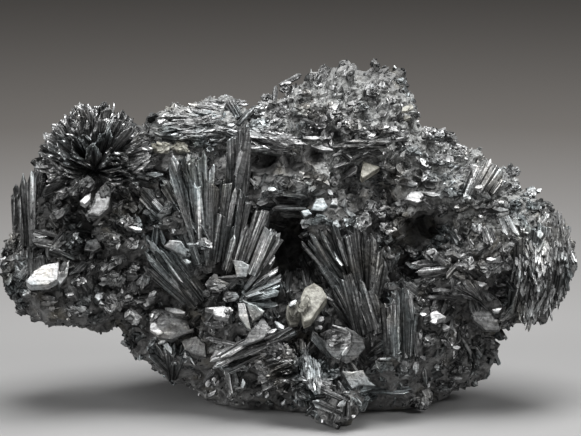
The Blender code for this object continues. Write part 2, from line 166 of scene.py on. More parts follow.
@dataclass
class FormMaker:
    """Shapes a few variants of each crystal form."""

    seed: int = 5
    variants: int = 8
    blade: Triple = (6.0, 2.2, 0.5)
    lath: Triple = (6.0, 1.2, 0.45)
    table: Triple = (3.0, 2.6, 0.6)
    slip: Triple = (3.0, 1.2, 0.3)
    grain: Triple = (1.0, 0.9, 0.8)
    flake: Triple = (1.6, 1.4, 0.32)
    rng: random.Random = field(init=False)

    def __post_init__(self) -> None:
        """Starts the random draws."""
        self.rng = random.Random(self.seed)

    def bar(self, size: Triple) -> bmesh.types.BMesh:
        """A bar along +X from the origin.

        Args:
            size: length, width and thickness.

        Returns:
            The closed bar.
        """
        bm = bmesh.new()
        place = Matrix.Translation((size[0] / 2, 0, 0)) @ Matrix.Diagonal((*size, 1.0))
        bmesh.ops.create_cube(bm, size=1.0, matrix=place)
        return bm

    def cut_tip(self, bm: bmesh.types.BMesh, size: Triple, depth: float) -> None:
        """Cuts the tip's corners at two different angles, and thins the tip like a chisel.

        Args:
            bm: the closed form.
            size: length, width and thickness.
            depth: how far back a corner may be cut, as a share of the length.
        """
        length, width, thick = size
        for side in (1, -1):
            angle = math.radians(self.rng.uniform(22, 62))
            reach = length - self.rng.uniform(0.0, depth) * length
            point = (reach, side * width * self.rng.uniform(0.02, 0.3), 0)
            trim(bm, point, (math.cos(angle), side * math.sin(angle), 0))
        tilt = math.radians(self.rng.uniform(40, 70))
        trim(bm, (length * 0.95, 0, thick * 0.2), (math.cos(tilt), 0, math.sin(tilt)))

    def pinch_root(self, bm: bmesh.types.BMesh, share: float) -> None:
        """Narrows the root end."""
        root = [vert for vert in bm.verts if vert.co.x < 1e-4]
        bmesh.ops.scale(bm, verts=root, vec=(1, share, 0.8))

    def make_blade(self) -> Template:
        """A blade with bevelled edges.

        Returns:
            The template.
        """
        bm = self.bar(self.blade)
        self.pinch_root(bm, 0.4)
        for share in (0.4, 0.72):
            score(bm, share * self.blade[0])
        self.cut_tip(bm, self.blade, 0.16)
        soften(bm, 0.07)
        return finished_template(bm, self.blade)

    def make_lath(self) -> Template:
        """A lath with one oblique end face.

        Returns:
            The template.
        """
        bm = self.bar(self.lath)
        self.pinch_root(bm, 0.75)
        score(bm, 0.55 * self.lath[0])
        angle = math.radians(self.rng.uniform(4, 32)) * self.rng.choice((-1, 1))
        trim(bm, (0.95 * self.lath[0], 0, 0), (math.cos(angle), math.sin(angle), self.rng.uniform(-0.5, 0.5)))
        soften(bm, 0.06)
        return finished_template(bm, self.lath)

    def broken(self, size: Triple, cuts: int) -> bmesh.types.BMesh:
        """A bar whose corners are broken off by steep planes.

        Args:
            size: length, width and thickness.
            cuts: how many corners are cut.

        Returns:
            The closed slab.
        """
        bm = self.bar(size)
        self.pinch_root(bm, self.rng.uniform(0.35, 1.0))
        for corner in self.rng.sample(range(4), cuts):
            angle = math.radians(self.rng.uniform(15, 75) + 90 * corner)
            level = Vector((math.cos(angle), math.sin(angle), 0))
            reach = (abs(level.x) * size[0] + abs(level.y) * size[1]) / 2
            point = Vector((size[0] / 2, 0, 0)) + level * reach * self.rng.uniform(0.45, 0.85)
            normal = level + Vector((0, 0, self.rng.uniform(-0.5, 0.5)))
            trim(bm, tuple(point), tuple(normal))
        return bm

    def make_table(self) -> Template:
        """A broken slab with crisp edges."""
        bm = self.broken(self.table, self.rng.choice((2, 3, 4)))
        soften(bm, 0.05)
        return finished_template(bm, self.table)

    def make_slip(self) -> Template:
        """A small plain blade.

        Returns:
            The template.
        """
        bm = self.bar(self.slip)
        self.pinch_root(bm, 0.55)
        score(bm, 0.5 * self.slip[0])
        self.cut_tip(bm, self.slip, 0.2)
        return finished_template(bm, self.slip)

    def make_grain(self) -> Template:
        """A block with three corners cut off.

        Returns:
            The template.
        """
        bm = self.bar(self.grain)
        for _ in range(3):
            normal = boxed(self.rng).normalized()
            point = Vector((0.5 * self.grain[0], 0, 0)) + normal * self.rng.uniform(0.34, 0.5)
            trim(bm, tuple(point), tuple(normal))
        return finished_template(bm, self.grain)

    def make_flake(self) -> Template:
        """A thin broken flake."""
        return finished_template(self.broken(self.flake, self.rng.choice((2, 3, 4))), self.flake)

    def all_forms(self) -> dict[Habit, list[Template]]:
        """Every form in several variants.

        Returns:
            The variants of each form.
        """
        makers = {
            Habit.BLADE: self.make_blade,
            Habit.LATH: self.make_lath,
            Habit.TABLE: self.make_table,
            Habit.SLIP: self.make_slip,
            Habit.GRAIN: self.make_grain,
            Habit.FLAKE: self.make_flake,
        }
        return {habit: [make() for _ in range(self.variants)] for habit, make in makers.items()}


def placement(origin: Vector, along: Vector, across: Vector) -> Matrix:
    """A placement with X along one vector and Y as near as can be to another.

    Args:
        origin: where it is.
        along: the direction of X.
        across: roughly the direction of Y.

    Returns:
        The placement.
    """
    x = Vector(along).normalized()
    z = x.cross(Vector(across)).normalized()
    y = z.cross(x)
    return Matrix.Translation(origin) @ Matrix((x, y, z)).transposed().to_4x4()


@dataclass
class Pile:
    """Crystals that are gathered one by one and made into one mesh."""

    name: str
    forms: dict[Habit, list[Template]]
    rng: random.Random
    placed: dict[int, tuple[Template, list[tuple]]] = field(default_factory=dict)

    def add(
        self, habit: Habit, place: Matrix, size: Triple, tone_and_painted_light: float, bend: float = 0.0, twist: float = 0.0,
        lined: float = 1.0,
    ) -> None:
        """Places one crystal.

        Args:
            habit: its form; the variant is drawn.
            place: where it grows from, with X along it and Z square to its flat side.
            size: length, width and thickness.
            tone_and_painted_light: from 0, dark and dull, to 1, bright: its own colour and painted light and
                shade together.
            bend: how far its tip curls towards Z, as a share of its length.
            twist: turn of its tip about its length, in radians.
            lined: how strongly fine lines mark it, from 0 to 1.
        """
        self.put(self.rng.choice(self.forms[habit]), place, size, tone_and_painted_light, bend, twist, lined)

    def put(self, template: Template, place: Matrix, size: Triple, tone_and_painted_light: float, *rest: float) -> None:
        """Places one crystal of a given template.

        Args:
            template: the form.
            place: where it grows from.
            size: length, width and thickness.
            tone_and_painted_light: how bright it is.
            rest: bend, twist and lines, as in add().
        """
        bend, twist, lined = rest
        row = (np.array(place), size, tone_and_painted_light, bend, twist, self.rng.random(), lined)
        self.placed.setdefault(id(template), (template, []))[1].append(row)

    def batch(self, template: Template, rows: list[tuple]) -> tuple[np.ndarray, ...]:
        """Works out every copy of one template at once.

        Args:
            template: the form.
            rows: what put() kept.

        Returns:
            Points, triangles, tone, reach, lines and UV, the last four in step with the points.
        """
        places = np.stack([row[0] for row in rows])
        sizes = np.array([row[1] for row in rows])
        tones_and_painted_light, bends, twists, offsets, lines = (np.array([row[k] for row in rows]) for k in (2, 3, 4, 5, 6))
        local = template.points[None] * sizes[:, None, :]
        share = template.reach[None]
        angle = twists[:, None] * share
        y = local[..., 1] * np.cos(angle) - local[..., 2] * np.sin(angle)
        z = local[..., 1] * np.sin(angle) + local[..., 2] * np.cos(angle)
        z = z + bends[:, None] * share**2 * sizes[:, :1]
        bent = np.stack([local[..., 0], y, z], axis=-1)
        points = np.einsum("nij,npj->npi", places[:, :3, :3], bent) + places[:, None, :3, 3]
        count, corners = points.shape[:2]
        uv = np.stack([local[..., 0], local[..., 1] + 0.9 * local[..., 2]], axis=-1)
        uv = uv + 37.0 * offsets[:, None, None]
        triangles = template.triangles[None] + (np.arange(count) * corners)[:, None, None]
        tone_and_painted_light = np.repeat(tones_and_painted_light, corners)
        reach = np.tile(share[0], count)
        lined = np.repeat(lines, corners)
        return points.reshape(-1, 3), triangles.reshape(-1, 3), tone_and_painted_light, reach, lined, uv.reshape(-1, 2)

    def mesh_object(self) -> bpy.types.Object:
        """Joins everything placed so far into one object with the attributes that its finish reads.

        Returns:
            The object.
        """
        parts, base = [], 0
        for template, rows in self.placed.values():
            points, triangles, *values = self.batch(template, rows)
            parts.append((points, triangles + base, *values))
            base += len(points)
        points, triangles, *values, uv = (np.concatenate([part[k] for part in parts]) for k in range(6))
        mesh = bpy.data.meshes.new(self.name)
        mesh.vertices.add(len(points))
        mesh.loops.add(3 * len(triangles))
        mesh.polygons.add(len(triangles))
        mesh.vertices.foreach_set("co", (points * MM).astype(np.float32).ravel())
        mesh.loops.foreach_set("vertex_index", triangles.astype(np.int32).ravel())
        mesh.polygons.foreach_set("loop_start", np.arange(0, 3 * len(triangles), 3, dtype=np.int32))
        for name, value in zip(("tone_and_painted_light", "reach", "lined"), values):
            mesh.attributes.new(name, "FLOAT", "POINT").data.foreach_set("value", value.astype(np.float32))
        layer = mesh.uv_layers.new(name="growth")
        layer.data.foreach_set("uv", uv[triangles.ravel()].astype(np.float32).ravel())
        mesh.update(calc_edges=True)
        mesh.shade_flat()
        obj = bpy.data.objects.new(self.name, mesh)
        bpy.context.collection.objects.link(obj)
        return obj


# Node groups and finishes


class Wiring:
    """Adds nodes to a tree and links them, so that a finish reads as a list of steps."""

    def __init__(self, tree: bpy.types.NodeTree) -> None:
        """Keeps the tree."""
        self.tree = tree

    def link(self, source: bpy.types.NodeSocket, target: bpy.types.NodeSocket) -> None:
        """Joins an output to an input."""
        self.tree.links.new(source, target)

    def add(self, kind: str, inputs: dict | None = None, **settings: object) -> bpy.types.Node:
        """Adds one node.

        Args:
            kind: the node's type.
            inputs: values or output sockets by the name or number of an input.
            settings: properties of the node.

        Returns:
            The node.
        """
        node = self.tree.nodes.new(kind)
        for name, value in settings.items():
            setattr(node, name, value)
        for name, value in (inputs or {}).items():
            if isinstance(value, bpy.types.NodeSocket):
                self.link(value, node.inputs[name])
            else:
                node.inputs[name].default_value = value
        return node

    def ramp(self, factor: bpy.types.NodeSocket, stops: list[tuple[float, tuple]]) -> bpy.types.NodeSocket:
        """A colour ramp.

        Args:
            factor: the place on the ramp.
            stops: positions and colours.

        Returns:
            The colour.
        """
        node = self.add("ShaderNodeValToRGB", {"Fac": factor})
        elements = node.color_ramp.elements
        while len(elements) < len(stops):
            elements.new(0.5)
        for element, (position, colour) in zip(elements, stops):
            element.position = position
            element.color = (*colour, 1.0)
        return node.outputs["Color"]

    def range(
        self, value: bpy.types.NodeSocket, low: float, high: float, to_low: float, to_high: float
    ) -> bpy.types.NodeSocket:
        """Maps a value from one range to another and clamps it."""
        inputs = {"Value": value, "From Min": low, "From Max": high, "To Min": to_low, "To Max": to_high}
        return self.add("ShaderNodeMapRange", inputs).outputs["Result"]

    def cloud(
        self, vector: bpy.types.NodeSocket, scale: float, detail: float, roughness: float
    ) -> bpy.types.NodeSocket:
        """A noise pattern.

        Args:
            vector: where it is read.
            scale: how fine it is.
            detail: how many finer layers it has.
            roughness: how strong they are.

        Returns:
            The pattern, from 0 to 1.
        """
        inputs = {"Vector": vector, "Scale": scale, "Detail": detail, "Roughness": roughness}
        return self.add("ShaderNodeTexNoise", inputs).outputs["Fac"]

    def math(self, operation: str, first: Signal, second: Signal) -> bpy.types.NodeSocket:
        """One arithmetic step."""
        return self.add("ShaderNodeMath", {0: first, 1: second}, operation=operation).outputs["Value"]

    def blend(self, factor: Signal, first: Signal, second: Signal, mode: str = "MIX") -> bpy.types.NodeSocket:
        """Mixes two colours.

        Args:
            factor: the share of the second.
            first: the colour underneath.
            second: the colour on top.
            mode: how they are mixed.

        Returns:
            The colour.
        """
        node = self.add("ShaderNodeMix", data_type="RGBA", blend_type=mode)
        for index, value in ((0, factor), (6, first), (7, second)):
            if isinstance(value, bpy.types.NodeSocket):
                self.link(value, node.inputs[index])
            else:
                node.inputs[index].default_value = value
        return node.outputs[2]


def new_group(name: str, inputs: dict[str, tuple], outputs: dict[str, str]) -> tuple:
    """Starts a shader node group.

    Args:
        name: the group's name.
        inputs: socket type and default by name.
        outputs: socket type by name.

    Returns:
        The group, its wiring, and its input and output nodes.
    """
    group = bpy.data.node_groups.new(name, "ShaderNodeTree")
    for label, (kind, default) in inputs.items():
        socket = group.interface.new_socket(label, in_out="INPUT", socket_type=kind)
        if default is not None:
            socket.default_value = default
    for label, kind in outputs.items():
        group.interface.new_socket(label, in_out="OUTPUT", socket_type=kind)
    wiring = Wiring(group)
    return group, wiring, wiring.add("NodeGroupInput"), wiring.add("NodeGroupOutput")


def striation_group() -> bpy.types.NodeTree:
    """Fine lines along a crystal: a height, and a mask that is high on the polished bands between them.

    Returns:
        The node group.
    """
    group, wiring, entry, leave = new_group(
        "striation",
        {"Vector": ("NodeSocketVector", None), "Lines": ("NodeSocketFloat", 3.0)},
        {"Height": "NodeSocketFloat", "Polish": "NodeSocketFloat"},
    )
    parts = wiring.add("ShaderNodeSeparateXYZ", {"Vector": entry.outputs["Vector"]})
    heights = []
    for along, across in ((0.10, 1.0), (0.30, 2.7)):
        x = wiring.math("MULTIPLY", parts.outputs["X"], along)
        y = wiring.math("MULTIPLY", parts.outputs["Y"], across)
        y = wiring.math("MULTIPLY", y, entry.outputs["Lines"])
        vector = wiring.add("ShaderNodeCombineXYZ", {"X": x, "Y": y}).outputs["Vector"]
        heights.append(wiring.cloud(vector, 1.0, 2.0, 0.6))
    total = wiring.math("MULTIPLY_ADD", heights[1], 0.45)
    total.node.inputs[2].default_value = 0.0
    wiring.link(heights[0], total.node.inputs[2])
    wiring.link(total, leave.inputs["Height"])
    polish = wiring.range(heights[0], 0.4, 0.62, 0.0, 1.0)
    wiring.link(polish, leave.inputs["Polish"])
    return group


def patina_group() -> bpy.types.NodeTree:
    """Slow changes over the specimen: two tint masks and a dirt mask, in millimetres of its own space.

    Returns:
        The node group.
    """
    group, wiring, entry, leave = new_group(
        "patina",
        {"Vector": ("NodeSocketVector", None)},
        {"Cool": "NodeSocketFloat", "Warm": "NodeSocketFloat", "Dirt": "NodeSocketFloat"},
    )
    for label, scale, low, high, shift in (
        ("Cool", 0.16, 0.5, 0.66, 0.0), ("Warm", 0.21, 0.54, 0.7, 31.0), ("Dirt", 0.55, 0.45, 0.7, 67.0)
    ):
        moved = wiring.add(
            "ShaderNodeVectorMath", {0: entry.outputs["Vector"], 1: (shift, shift, shift)}, operation="ADD"
        )
        mask = wiring.range(wiring.cloud(moved.outputs[0], scale, 3.0, 0.6), low, high, 0.0, 1.0)
        wiring.link(mask, leave.inputs[label])
    return group


def in_millimetres(wiring: Wiring) -> bpy.types.NodeSocket:
    """The piece's own coordinates, in millimetres."""
    source = wiring.add("ShaderNodeTexCoord").outputs["Object"]
    scaled = wiring.add("ShaderNodeMapping", {"Vector": source, "Scale": (1000.0, 1000.0, 1000.0)})
    return scaled.outputs["Vector"]


def new_material(name: str) -> tuple[bpy.types.Material, Wiring, bpy.types.Node]:
    """Starts a material.

    Args:
        name: its name.

    Returns:
        The material, its wiring and its shader node.
    """
    material = bpy.data.materials.new(name)
    material.use_nodes = True
    shader = material.node_tree.nodes["Principled BSDF"]
    return material, Wiring(material.node_tree), shader


@dataclass(frozen=True)
class CrystalFinish:
    """Bright grey metal with fine lines along each blade, darker towards the root as painted shade."""

    name: str = "semseyite"
    dark: Triple = (0.12, 0.122, 0.122)
    middle: Triple = (0.31, 0.312, 0.312)
    pale: Triple = (0.40, 0.402, 0.403)
    bright: Triple = (0.51, 0.512, 0.515)
    cool: Triple = (0.80, 0.95, 0.99)
    warm: Triple = (1.0, 0.93, 0.82)
    groove_painted_shade: tuple[float, float] = (0.13, 0.74)
    ridge_painted_highlight: float = 2.7
    speckle: tuple[float, float] = (0.45, 1.3)
    roughness: tuple[float, float] = (0.32, 0.55)
    lines: float = 3.0
    relief: float = 0.16
    pits: float = 0.14
    metallic: float = 1.0

    def material(self, striation: bpy.types.NodeTree, patina: bpy.types.NodeTree) -> bpy.types.Material:
        """Builds the node material.

        Args:
            striation: the group of fine lines.
            patina: the group of slow changes.

        Returns:
            The material.
        """
        material, wiring, shader = new_material(self.name)
        tone_and_painted_light = wiring.add("ShaderNodeAttribute", attribute_name="tone_and_painted_light").outputs["Fac"]
        reach = wiring.add("ShaderNodeAttribute", attribute_name="reach").outputs["Fac"]
        uv = wiring.add("ShaderNodeUVMap", uv_map="growth").outputs["UV"]
        place = in_millimetres(wiring)
        lines = wiring.add("ShaderNodeGroup", {}, node_tree=striation)
        wiring.link(uv, lines.inputs["Vector"])
        lines.inputs["Lines"].default_value = self.lines
        slow = wiring.add("ShaderNodeGroup", {}, node_tree=patina)
        wiring.link(place, slow.inputs["Vector"])
        grain = wiring.cloud(place, 3.2, 4.0, 0.65)
        # The brightness ramp sets the base colour: the crystal's own colour and painted light and shade
        # together.
        shades = [(0.0, self.dark), (0.55, self.middle), (0.86, self.pale), (1.0, self.bright)]
        base = wiring.ramp(tone_and_painted_light, shades)
        # Painted shade: the base colour darkens towards each crystal's root.
        root = wiring.range(reach, 0.0, 0.7, 0.45, 1.0)
        base = wiring.blend(1.0, base, root, "MULTIPLY")
        lined = wiring.add("ShaderNodeAttribute", attribute_name="lined").outputs["Fac"]
        # Painted shade in the grooves and painted highlights on the ridges of the fine lines.
        painted_streak_light = wiring.math("ADD", wiring.range(lines.outputs["Height"], 0.54, 0.72, *self.groove_painted_shade),
                              wiring.range(lines.outputs["Height"], 0.77, 0.92, 0.0, self.ridge_painted_highlight))
        base = wiring.blend(lined, base, wiring.blend(1.0, base, painted_streak_light, "MULTIPLY"))
        base = wiring.blend(1.0, base, wiring.range(grain, 0.36, 0.66, *self.speckle), "MULTIPLY")
        base = wiring.blend(wiring.math("MULTIPLY", slow.outputs["Cool"], 0.6), base,
                            wiring.blend(1.0, base, (*self.cool, 1.0), "MULTIPLY"))
        base = wiring.blend(wiring.math("MULTIPLY", slow.outputs["Warm"], 0.6), base,
                            wiring.blend(1.0, base, (*self.warm, 1.0), "MULTIPLY"))
        wiring.link(base, shader.inputs["Base Color"])
        shader.inputs["Metallic"].default_value = self.metallic
        rough = wiring.range(lines.outputs["Polish"], 0.0, 1.0, self.roughness[1], self.roughness[0])
        rough = wiring.math("ADD", rough, wiring.range(grain, 0.4, 0.7, -0.05, 0.16))
        rough = wiring.math("ADD", rough, wiring.math("MULTIPLY", slow.outputs["Dirt"], 0.14))
        wiring.link(rough, shader.inputs["Roughness"])
        fine = wiring.add(
            "ShaderNodeBump", {"Height": grain, "Strength": 0.7, "Distance": self.pits * MM}
        ).outputs["Normal"]
        bump = wiring.add(
            "ShaderNodeBump",
            {
                "Height": wiring.math("MULTIPLY", lines.outputs["Height"], lined), "Strength": 0.9,
                "Distance": self.relief * MM, "Normal": fine,
            },
        )
        wiring.link(bump.outputs["Normal"], shader.inputs["Normal"])
        return material


@dataclass(frozen=True)
class RockFinish:
    """Dull dark sulphide rock with glints, brownish in places and under a pale crust where it is bright."""

    name: str = "matrix_rock"
    dark: Triple = (0.022, 0.022, 0.022)
    grey: Triple = (0.14, 0.14, 0.138)
    brown: Triple = (0.08, 0.074, 0.06)
    crust_dark: Triple = (0.05, 0.05, 0.05)
    crust_pale: Triple = (0.48, 0.49, 0.48)
    pale: float = 4.5

    def material(self, patina: bpy.types.NodeTree) -> bpy.types.Material:
        """Builds the node material.

        Args:
            patina: the group of slow changes.

        Returns:
            The material.
        """
        material, wiring, shader = new_material(self.name)
        place = in_millimetres(wiring)
        slow = wiring.add("ShaderNodeGroup", {}, node_tree=patina)
        wiring.link(place, slow.inputs["Vector"])
        coarse = wiring.cloud(place, 0.9, 6.0, 0.7)
        crystals = wiring.add("ShaderNodeTexVoronoi", {"Vector": place, "Scale": 1.8, "Randomness": 1.0})
        base = wiring.ramp(coarse, [(0.34, self.dark), (0.7, self.grey)])
        base = wiring.blend(slow.outputs["Warm"], base, (*self.brown, 1.0))
        tone_and_painted_light = wiring.add("ShaderNodeAttribute", attribute_name="tone_and_painted_light").outputs["Fac"]
        # Brighter where the brightness mark is high: the pale crust, and painted light low down.
        base = wiring.blend(1.0, base, wiring.range(tone_and_painted_light, 0.3, 0.9, 0.9, self.pale), "MULTIPLY")
        # Darker where the mark is low: painted shade in the cavities.
        base = wiring.blend(1.0, base, wiring.range(tone_and_painted_light, 0.0, 0.28, 0.15, 1.0), "MULTIPLY")
        mottle = wiring.cloud(place, 2.6, 5.0, 0.75)
        crust = wiring.ramp(mottle, [(0.36, self.crust_dark), (0.68, self.crust_pale)])
        pale_crust_share = wiring.range(tone_and_painted_light, 0.5, 0.8, 0.0, 1.0)
        base = wiring.blend(pale_crust_share, base, crust)
        wiring.link(base, shader.inputs["Base Color"])
        spark = wiring.range(crystals.outputs["Color"], 0.55, 0.8, 0.0, 1.0)
        spark = wiring.math("MULTIPLY", spark, wiring.range(pale_crust_share, 0.0, 1.0, 1.0, 0.4))
        wiring.link(wiring.math("MULTIPLY", spark, 0.8), shader.inputs["Metallic"])
        rough = wiring.range(spark, 0.0, 1.0, 0.72, 0.4)
        wiring.link(rough, shader.inputs["Roughness"])
        fine = wiring.add(
            "ShaderNodeBump", {"Height": crystals.outputs["Distance"], "Strength": 0.8, "Distance": 0.16 * MM}
        ).outputs["Normal"]
        bump = wiring.add(
            "ShaderNodeBump",
            {"Height": coarse, "Strength": 1.0, "Distance": 0.4 * MM, "Normal": fine},
        )
        wiring.link(bump.outputs["Normal"], shader.inputs["Normal"])
        return material


@dataclass(frozen=True)
class SideriteFinish:
    """Cream to brownish crystal with a waxy shine."""

    name: str = "siderite"
    cream: Triple = (0.34, 0.335, 0.29)
    brown: Triple = (0.09, 0.085, 0.07)

    def material(self, patina: bpy.types.NodeTree) -> bpy.types.Material:
        """Builds the node material.

        Args:
            patina: the group of slow changes.

        Returns:
            The material.
        """
        material, wiring, shader = new_material(self.name)
        place = in_millimetres(wiring)
        texture = wiring.cloud(place, 1.6, 5.0, 0.7)
        tone_and_painted_light = wiring.add("ShaderNodeAttribute", attribute_name="tone_and_painted_light").outputs["Fac"]
        base = wiring.ramp(texture, [(0.38, self.brown), (0.6, self.cream)])
        # The brightness mark scales the base colour: own colour and painted light and shade together.
        base = wiring.blend(1.0, base, wiring.range(tone_and_painted_light, 0.0, 1.0, 0.35, 1.15), "MULTIPLY")
        wiring.link(base, shader.inputs["Base Color"])
        rough = wiring.range(texture, 0.3, 0.7, 0.6, 0.34)
        wiring.link(rough, shader.inputs["Roughness"])
        bump = wiring.add(
            "ShaderNodeBump", {"Height": texture, "Strength": 0.8, "Distance": 0.12 * MM}
        )
        wiring.link(bump.outputs["Normal"], shader.inputs["Normal"])
        return material


# Rock


@dataclass
class Rock:
    """The host rock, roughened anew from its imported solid, sunk in cavities and calmer where it is smooth."""

    voxel: float = 0.36
    block: float = 2.3
    block_height: float = 0.8
    chip: float = 1.0
    chip_height: float = 0.5
    mound: float = 4.0
    mound_height: float = 1.6
    sunk: float = -0.2
    foot: float = 0.9
    cavity: float = 1.2
    hollow: Callable[[Vector], float] = field(default=lambda point: 0.0)
    smooth: tuple[tuple[Triple, float], ...] = ()
    worn: tuple[tuple[Triple, float, float], ...] = (
        ((18.3, 3.5, 27.2), 4.5, 1.9), ((26.5, 0.0, 10.5), 4.0, 1.2), ((-9.0, 1.0, 30.5), 7.0, 1.2),
        ((11.6, 2.0, 33.4), 3.0, 1.4), ((-19.0, -3.0, 7.0), 4.5, 0.7), ((21.8, 0.0, 5.0), 5.0, 2.2),
    )

    def relief(self, point: Vector) -> float:
        """How far the skin stands out: mounds and tilted blocks of two sizes, less what is sunk or worn.

        Args:
            point: a point of the skin.

        Returns:
            The height.
        """
        height = self.mound_height * noise.noise(point / self.mound)
        for middle, radius in self.smooth:
            height *= 0.4 + 0.6 * min(1.0, (point - Vector(middle)).length / radius) ** 2
        height -= self.sunk + self.cavity * self.hollow(point)
        for middle, radius, depth in self.worn:
            height -= depth * max(0.0, 1 - ((point - Vector(middle)).length / radius) ** 2)
        for size, share in ((self.block, self.block_height), (self.chip, self.chip_height)):
            spots = noise.voronoi(point / size)[1]
            tilt = noise.cell_vector(spots[0] * 7.3) - Vector((0.5, 0.5, 0.5))
            height += share * (tilt.dot(point / size - spots[0]) + 0.8 * (noise.cell(spots[0] * 5.1) - 0.5))
        return height

    def build(self) -> bpy.types.Object:
        """Makes the rock.

        Returns:
            The new piece.
        """
        bm = bmesh.new()
        bm.from_mesh(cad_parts["matrix"].data)
        bmesh.ops.remove_doubles(bm, verts=bm.verts[:], dist=1e-6)
        mesh = bpy.data.meshes.new("matrix_rock")
        bm.to_mesh(mesh)
        bm.free()
        obj = bpy.data.objects.new("matrix_rock", mesh)
        bpy.context.collection.objects.link(obj)
        melt = obj.modifiers.new("melt", "REMESH")
        melt.mode = "VOXEL"
        melt.voxel_size = self.voxel * MM
        bpy.context.view_layer.update()
        graph = bpy.context.evaluated_depsgraph_get()
        obj.data = bpy.data.meshes.new_from_object(obj.evaluated_get(graph))
        obj.data.name = "matrix_rock"
        obj.modifiers.clear()
        normals = [vertex.normal.copy() for vertex in obj.data.vertices]
        for vertex, normal in zip(obj.data.vertices, normals):
            calm = min(1.0, max(0.0, vertex.co.z / MM / self.foot)) * (0.35 if normal.z < -0.25 else 1.0)
            vertex.co += normal * MM * calm * self.relief(vertex.co / MM)
        obj.data.shade_flat()
        return obj

    def brighten(self, obj: bpy.types.Object, light: Callable[[Vector], float]) -> None:
        """Marks on the rock how bright it is, with its painted light and shade, for its finish to read."""
        layer = obj.data.attributes.new("tone_and_painted_light", "FLOAT", "POINT")
        layer.data.foreach_set("value", [light(vertex.co / MM) for vertex in obj.data.vertices])


@dataclass
class Skin:
    """The rock's surface, for finding where crystals stand."""

    rock: bpy.types.Object
    tree: BVHTree = field(init=False)
    areas: np.ndarray = field(init=False)

    def __post_init__(self) -> None:
        """Builds the search tree and the running total of the faces' areas."""
        mesh = self.rock.data
        points = [vertex.co / MM for vertex in mesh.vertices]
        self.tree = BVHTree.FromPolygons(points, [polygon.vertices[:] for polygon in mesh.polygons])
        areas = np.zeros(len(mesh.polygons))
        mesh.polygons.foreach_get("area", areas)
        self.areas = np.cumsum(areas)

    def scattered(self, count: int, rng: random.Random) -> list[tuple[Vector, Vector]]:
        """Points spread evenly over the whole rock.

        Args:
            count: how many.
            rng: the random draws.

        Returns:
            Each point with the rock's normal there.
        """
        mesh = self.rock.data
        spots = []
        for _ in range(count):
            index = int(np.searchsorted(self.areas, rng.random() * self.areas[-1]))
            polygon = mesh.polygons[min(index, len(mesh.polygons) - 1)]
            corners = [mesh.vertices[k].co / MM for k in polygon.vertices]
            shares = [rng.random() + 0.05 for _ in corners]
            point = sum((c * s for c, s in zip(corners, shares)), Vector()) / sum(shares)
            spots.append((point, polygon.normal.copy()))
        return spots


# Crystal growths


@dataclass(frozen=True)
class Fan:
    """Blades that open like a hand of cards from one root, each a book of thin layers."""

    root: Triple
    tip: Triple
    spine: Triple
    sweep: float
    blades: int
    width: float
    thick: float
    tiers: tuple[float, ...] = (0.0,)
    habit: Habit = Habit.BLADE
    uneven: float = 0.3
    roll: float = 9.0
    layers: tuple[int, int] = (2, 4)
    tone_and_painted_light: tuple[float, float] = (0.1, 0.75)
    start: float = 0.1

    def grow(self, pile: Pile, rng: random.Random) -> None:
        """Adds the fan to a pile.

        Args:
            pile: where the crystals go.
            rng: the random draws.
        """
        root = Vector(self.root)
        middle = Vector(self.tip) - root
        reach = middle.length
        spine = Vector(self.spine)
        spine = (spine - spine.project(middle)).normalized()
        for tier, tilt in enumerate(self.tiers):
            shift = 0.5 * (tier % 2)
            for index in range(self.blades):
                share = (index + shift + rng.uniform(-0.35, 0.35)) / max(1, self.blades - 1) - 0.5
                aim = Matrix.Rotation(math.radians(share * self.sweep), 3, spine) @ middle.normalized()
                lean = math.radians(tilt + rng.gauss(0, 5))
                along = aim * math.cos(lean) + spine * math.sin(lean)
                across = spine * math.cos(lean) - aim * math.sin(lean)
                across = Matrix.Rotation(math.radians(rng.gauss(0, self.roll)), 3, along) @ across
                length = reach * (1 - self.uneven * rng.random()) * (1 - 0.22 * (2 * share) ** 2)
                self.grow_book(pile, rng, root, along, across, length)

    def grow_book(
        self, pile: Pile, rng: random.Random, root: Vector, along: Vector, across: Vector, length: float
    ) -> None:
        """Adds one blade as thin layers of different lengths.

        Args:
            pile: where the layers go.
            rng: the random draws.
            root: where the blade starts.
            along: its direction.
            across: the direction of its width.
            length: how long its longest layer may be.
        """
        width = self.width * rng.uniform(0.65, 1.1)
        normal = along.cross(across).normalized()
        count = rng.randint(*self.layers)
        thick = self.thick * rng.uniform(0.7, 1.2) / count
        bend = rng.gauss(0, 0.035)
        tone_and_painted_light = rng.uniform(*self.tone_and_painted_light)
        for layer in range(count):
            origin = root + along * self.start * length + normal * thick * (layer - (count - 1) / 2)
            origin += across * width * rng.uniform(-0.12, 0.12)
            size = (
                length * (1 - self.start) * rng.uniform(0.72, 1.0),
                width * rng.uniform(0.65, 1.0),
                thick * 1.05,
            )
            turn = Matrix.Rotation(math.radians(rng.gauss(0, 2.2)), 3, normal)
            place = placement(origin, turn @ along, turn @ across)
            shade = clamped(tone_and_painted_light + rng.uniform(-0.12, 0.12))
            pile.add(self.habit, place, size, shade, bend, rng.gauss(0, 0.05))


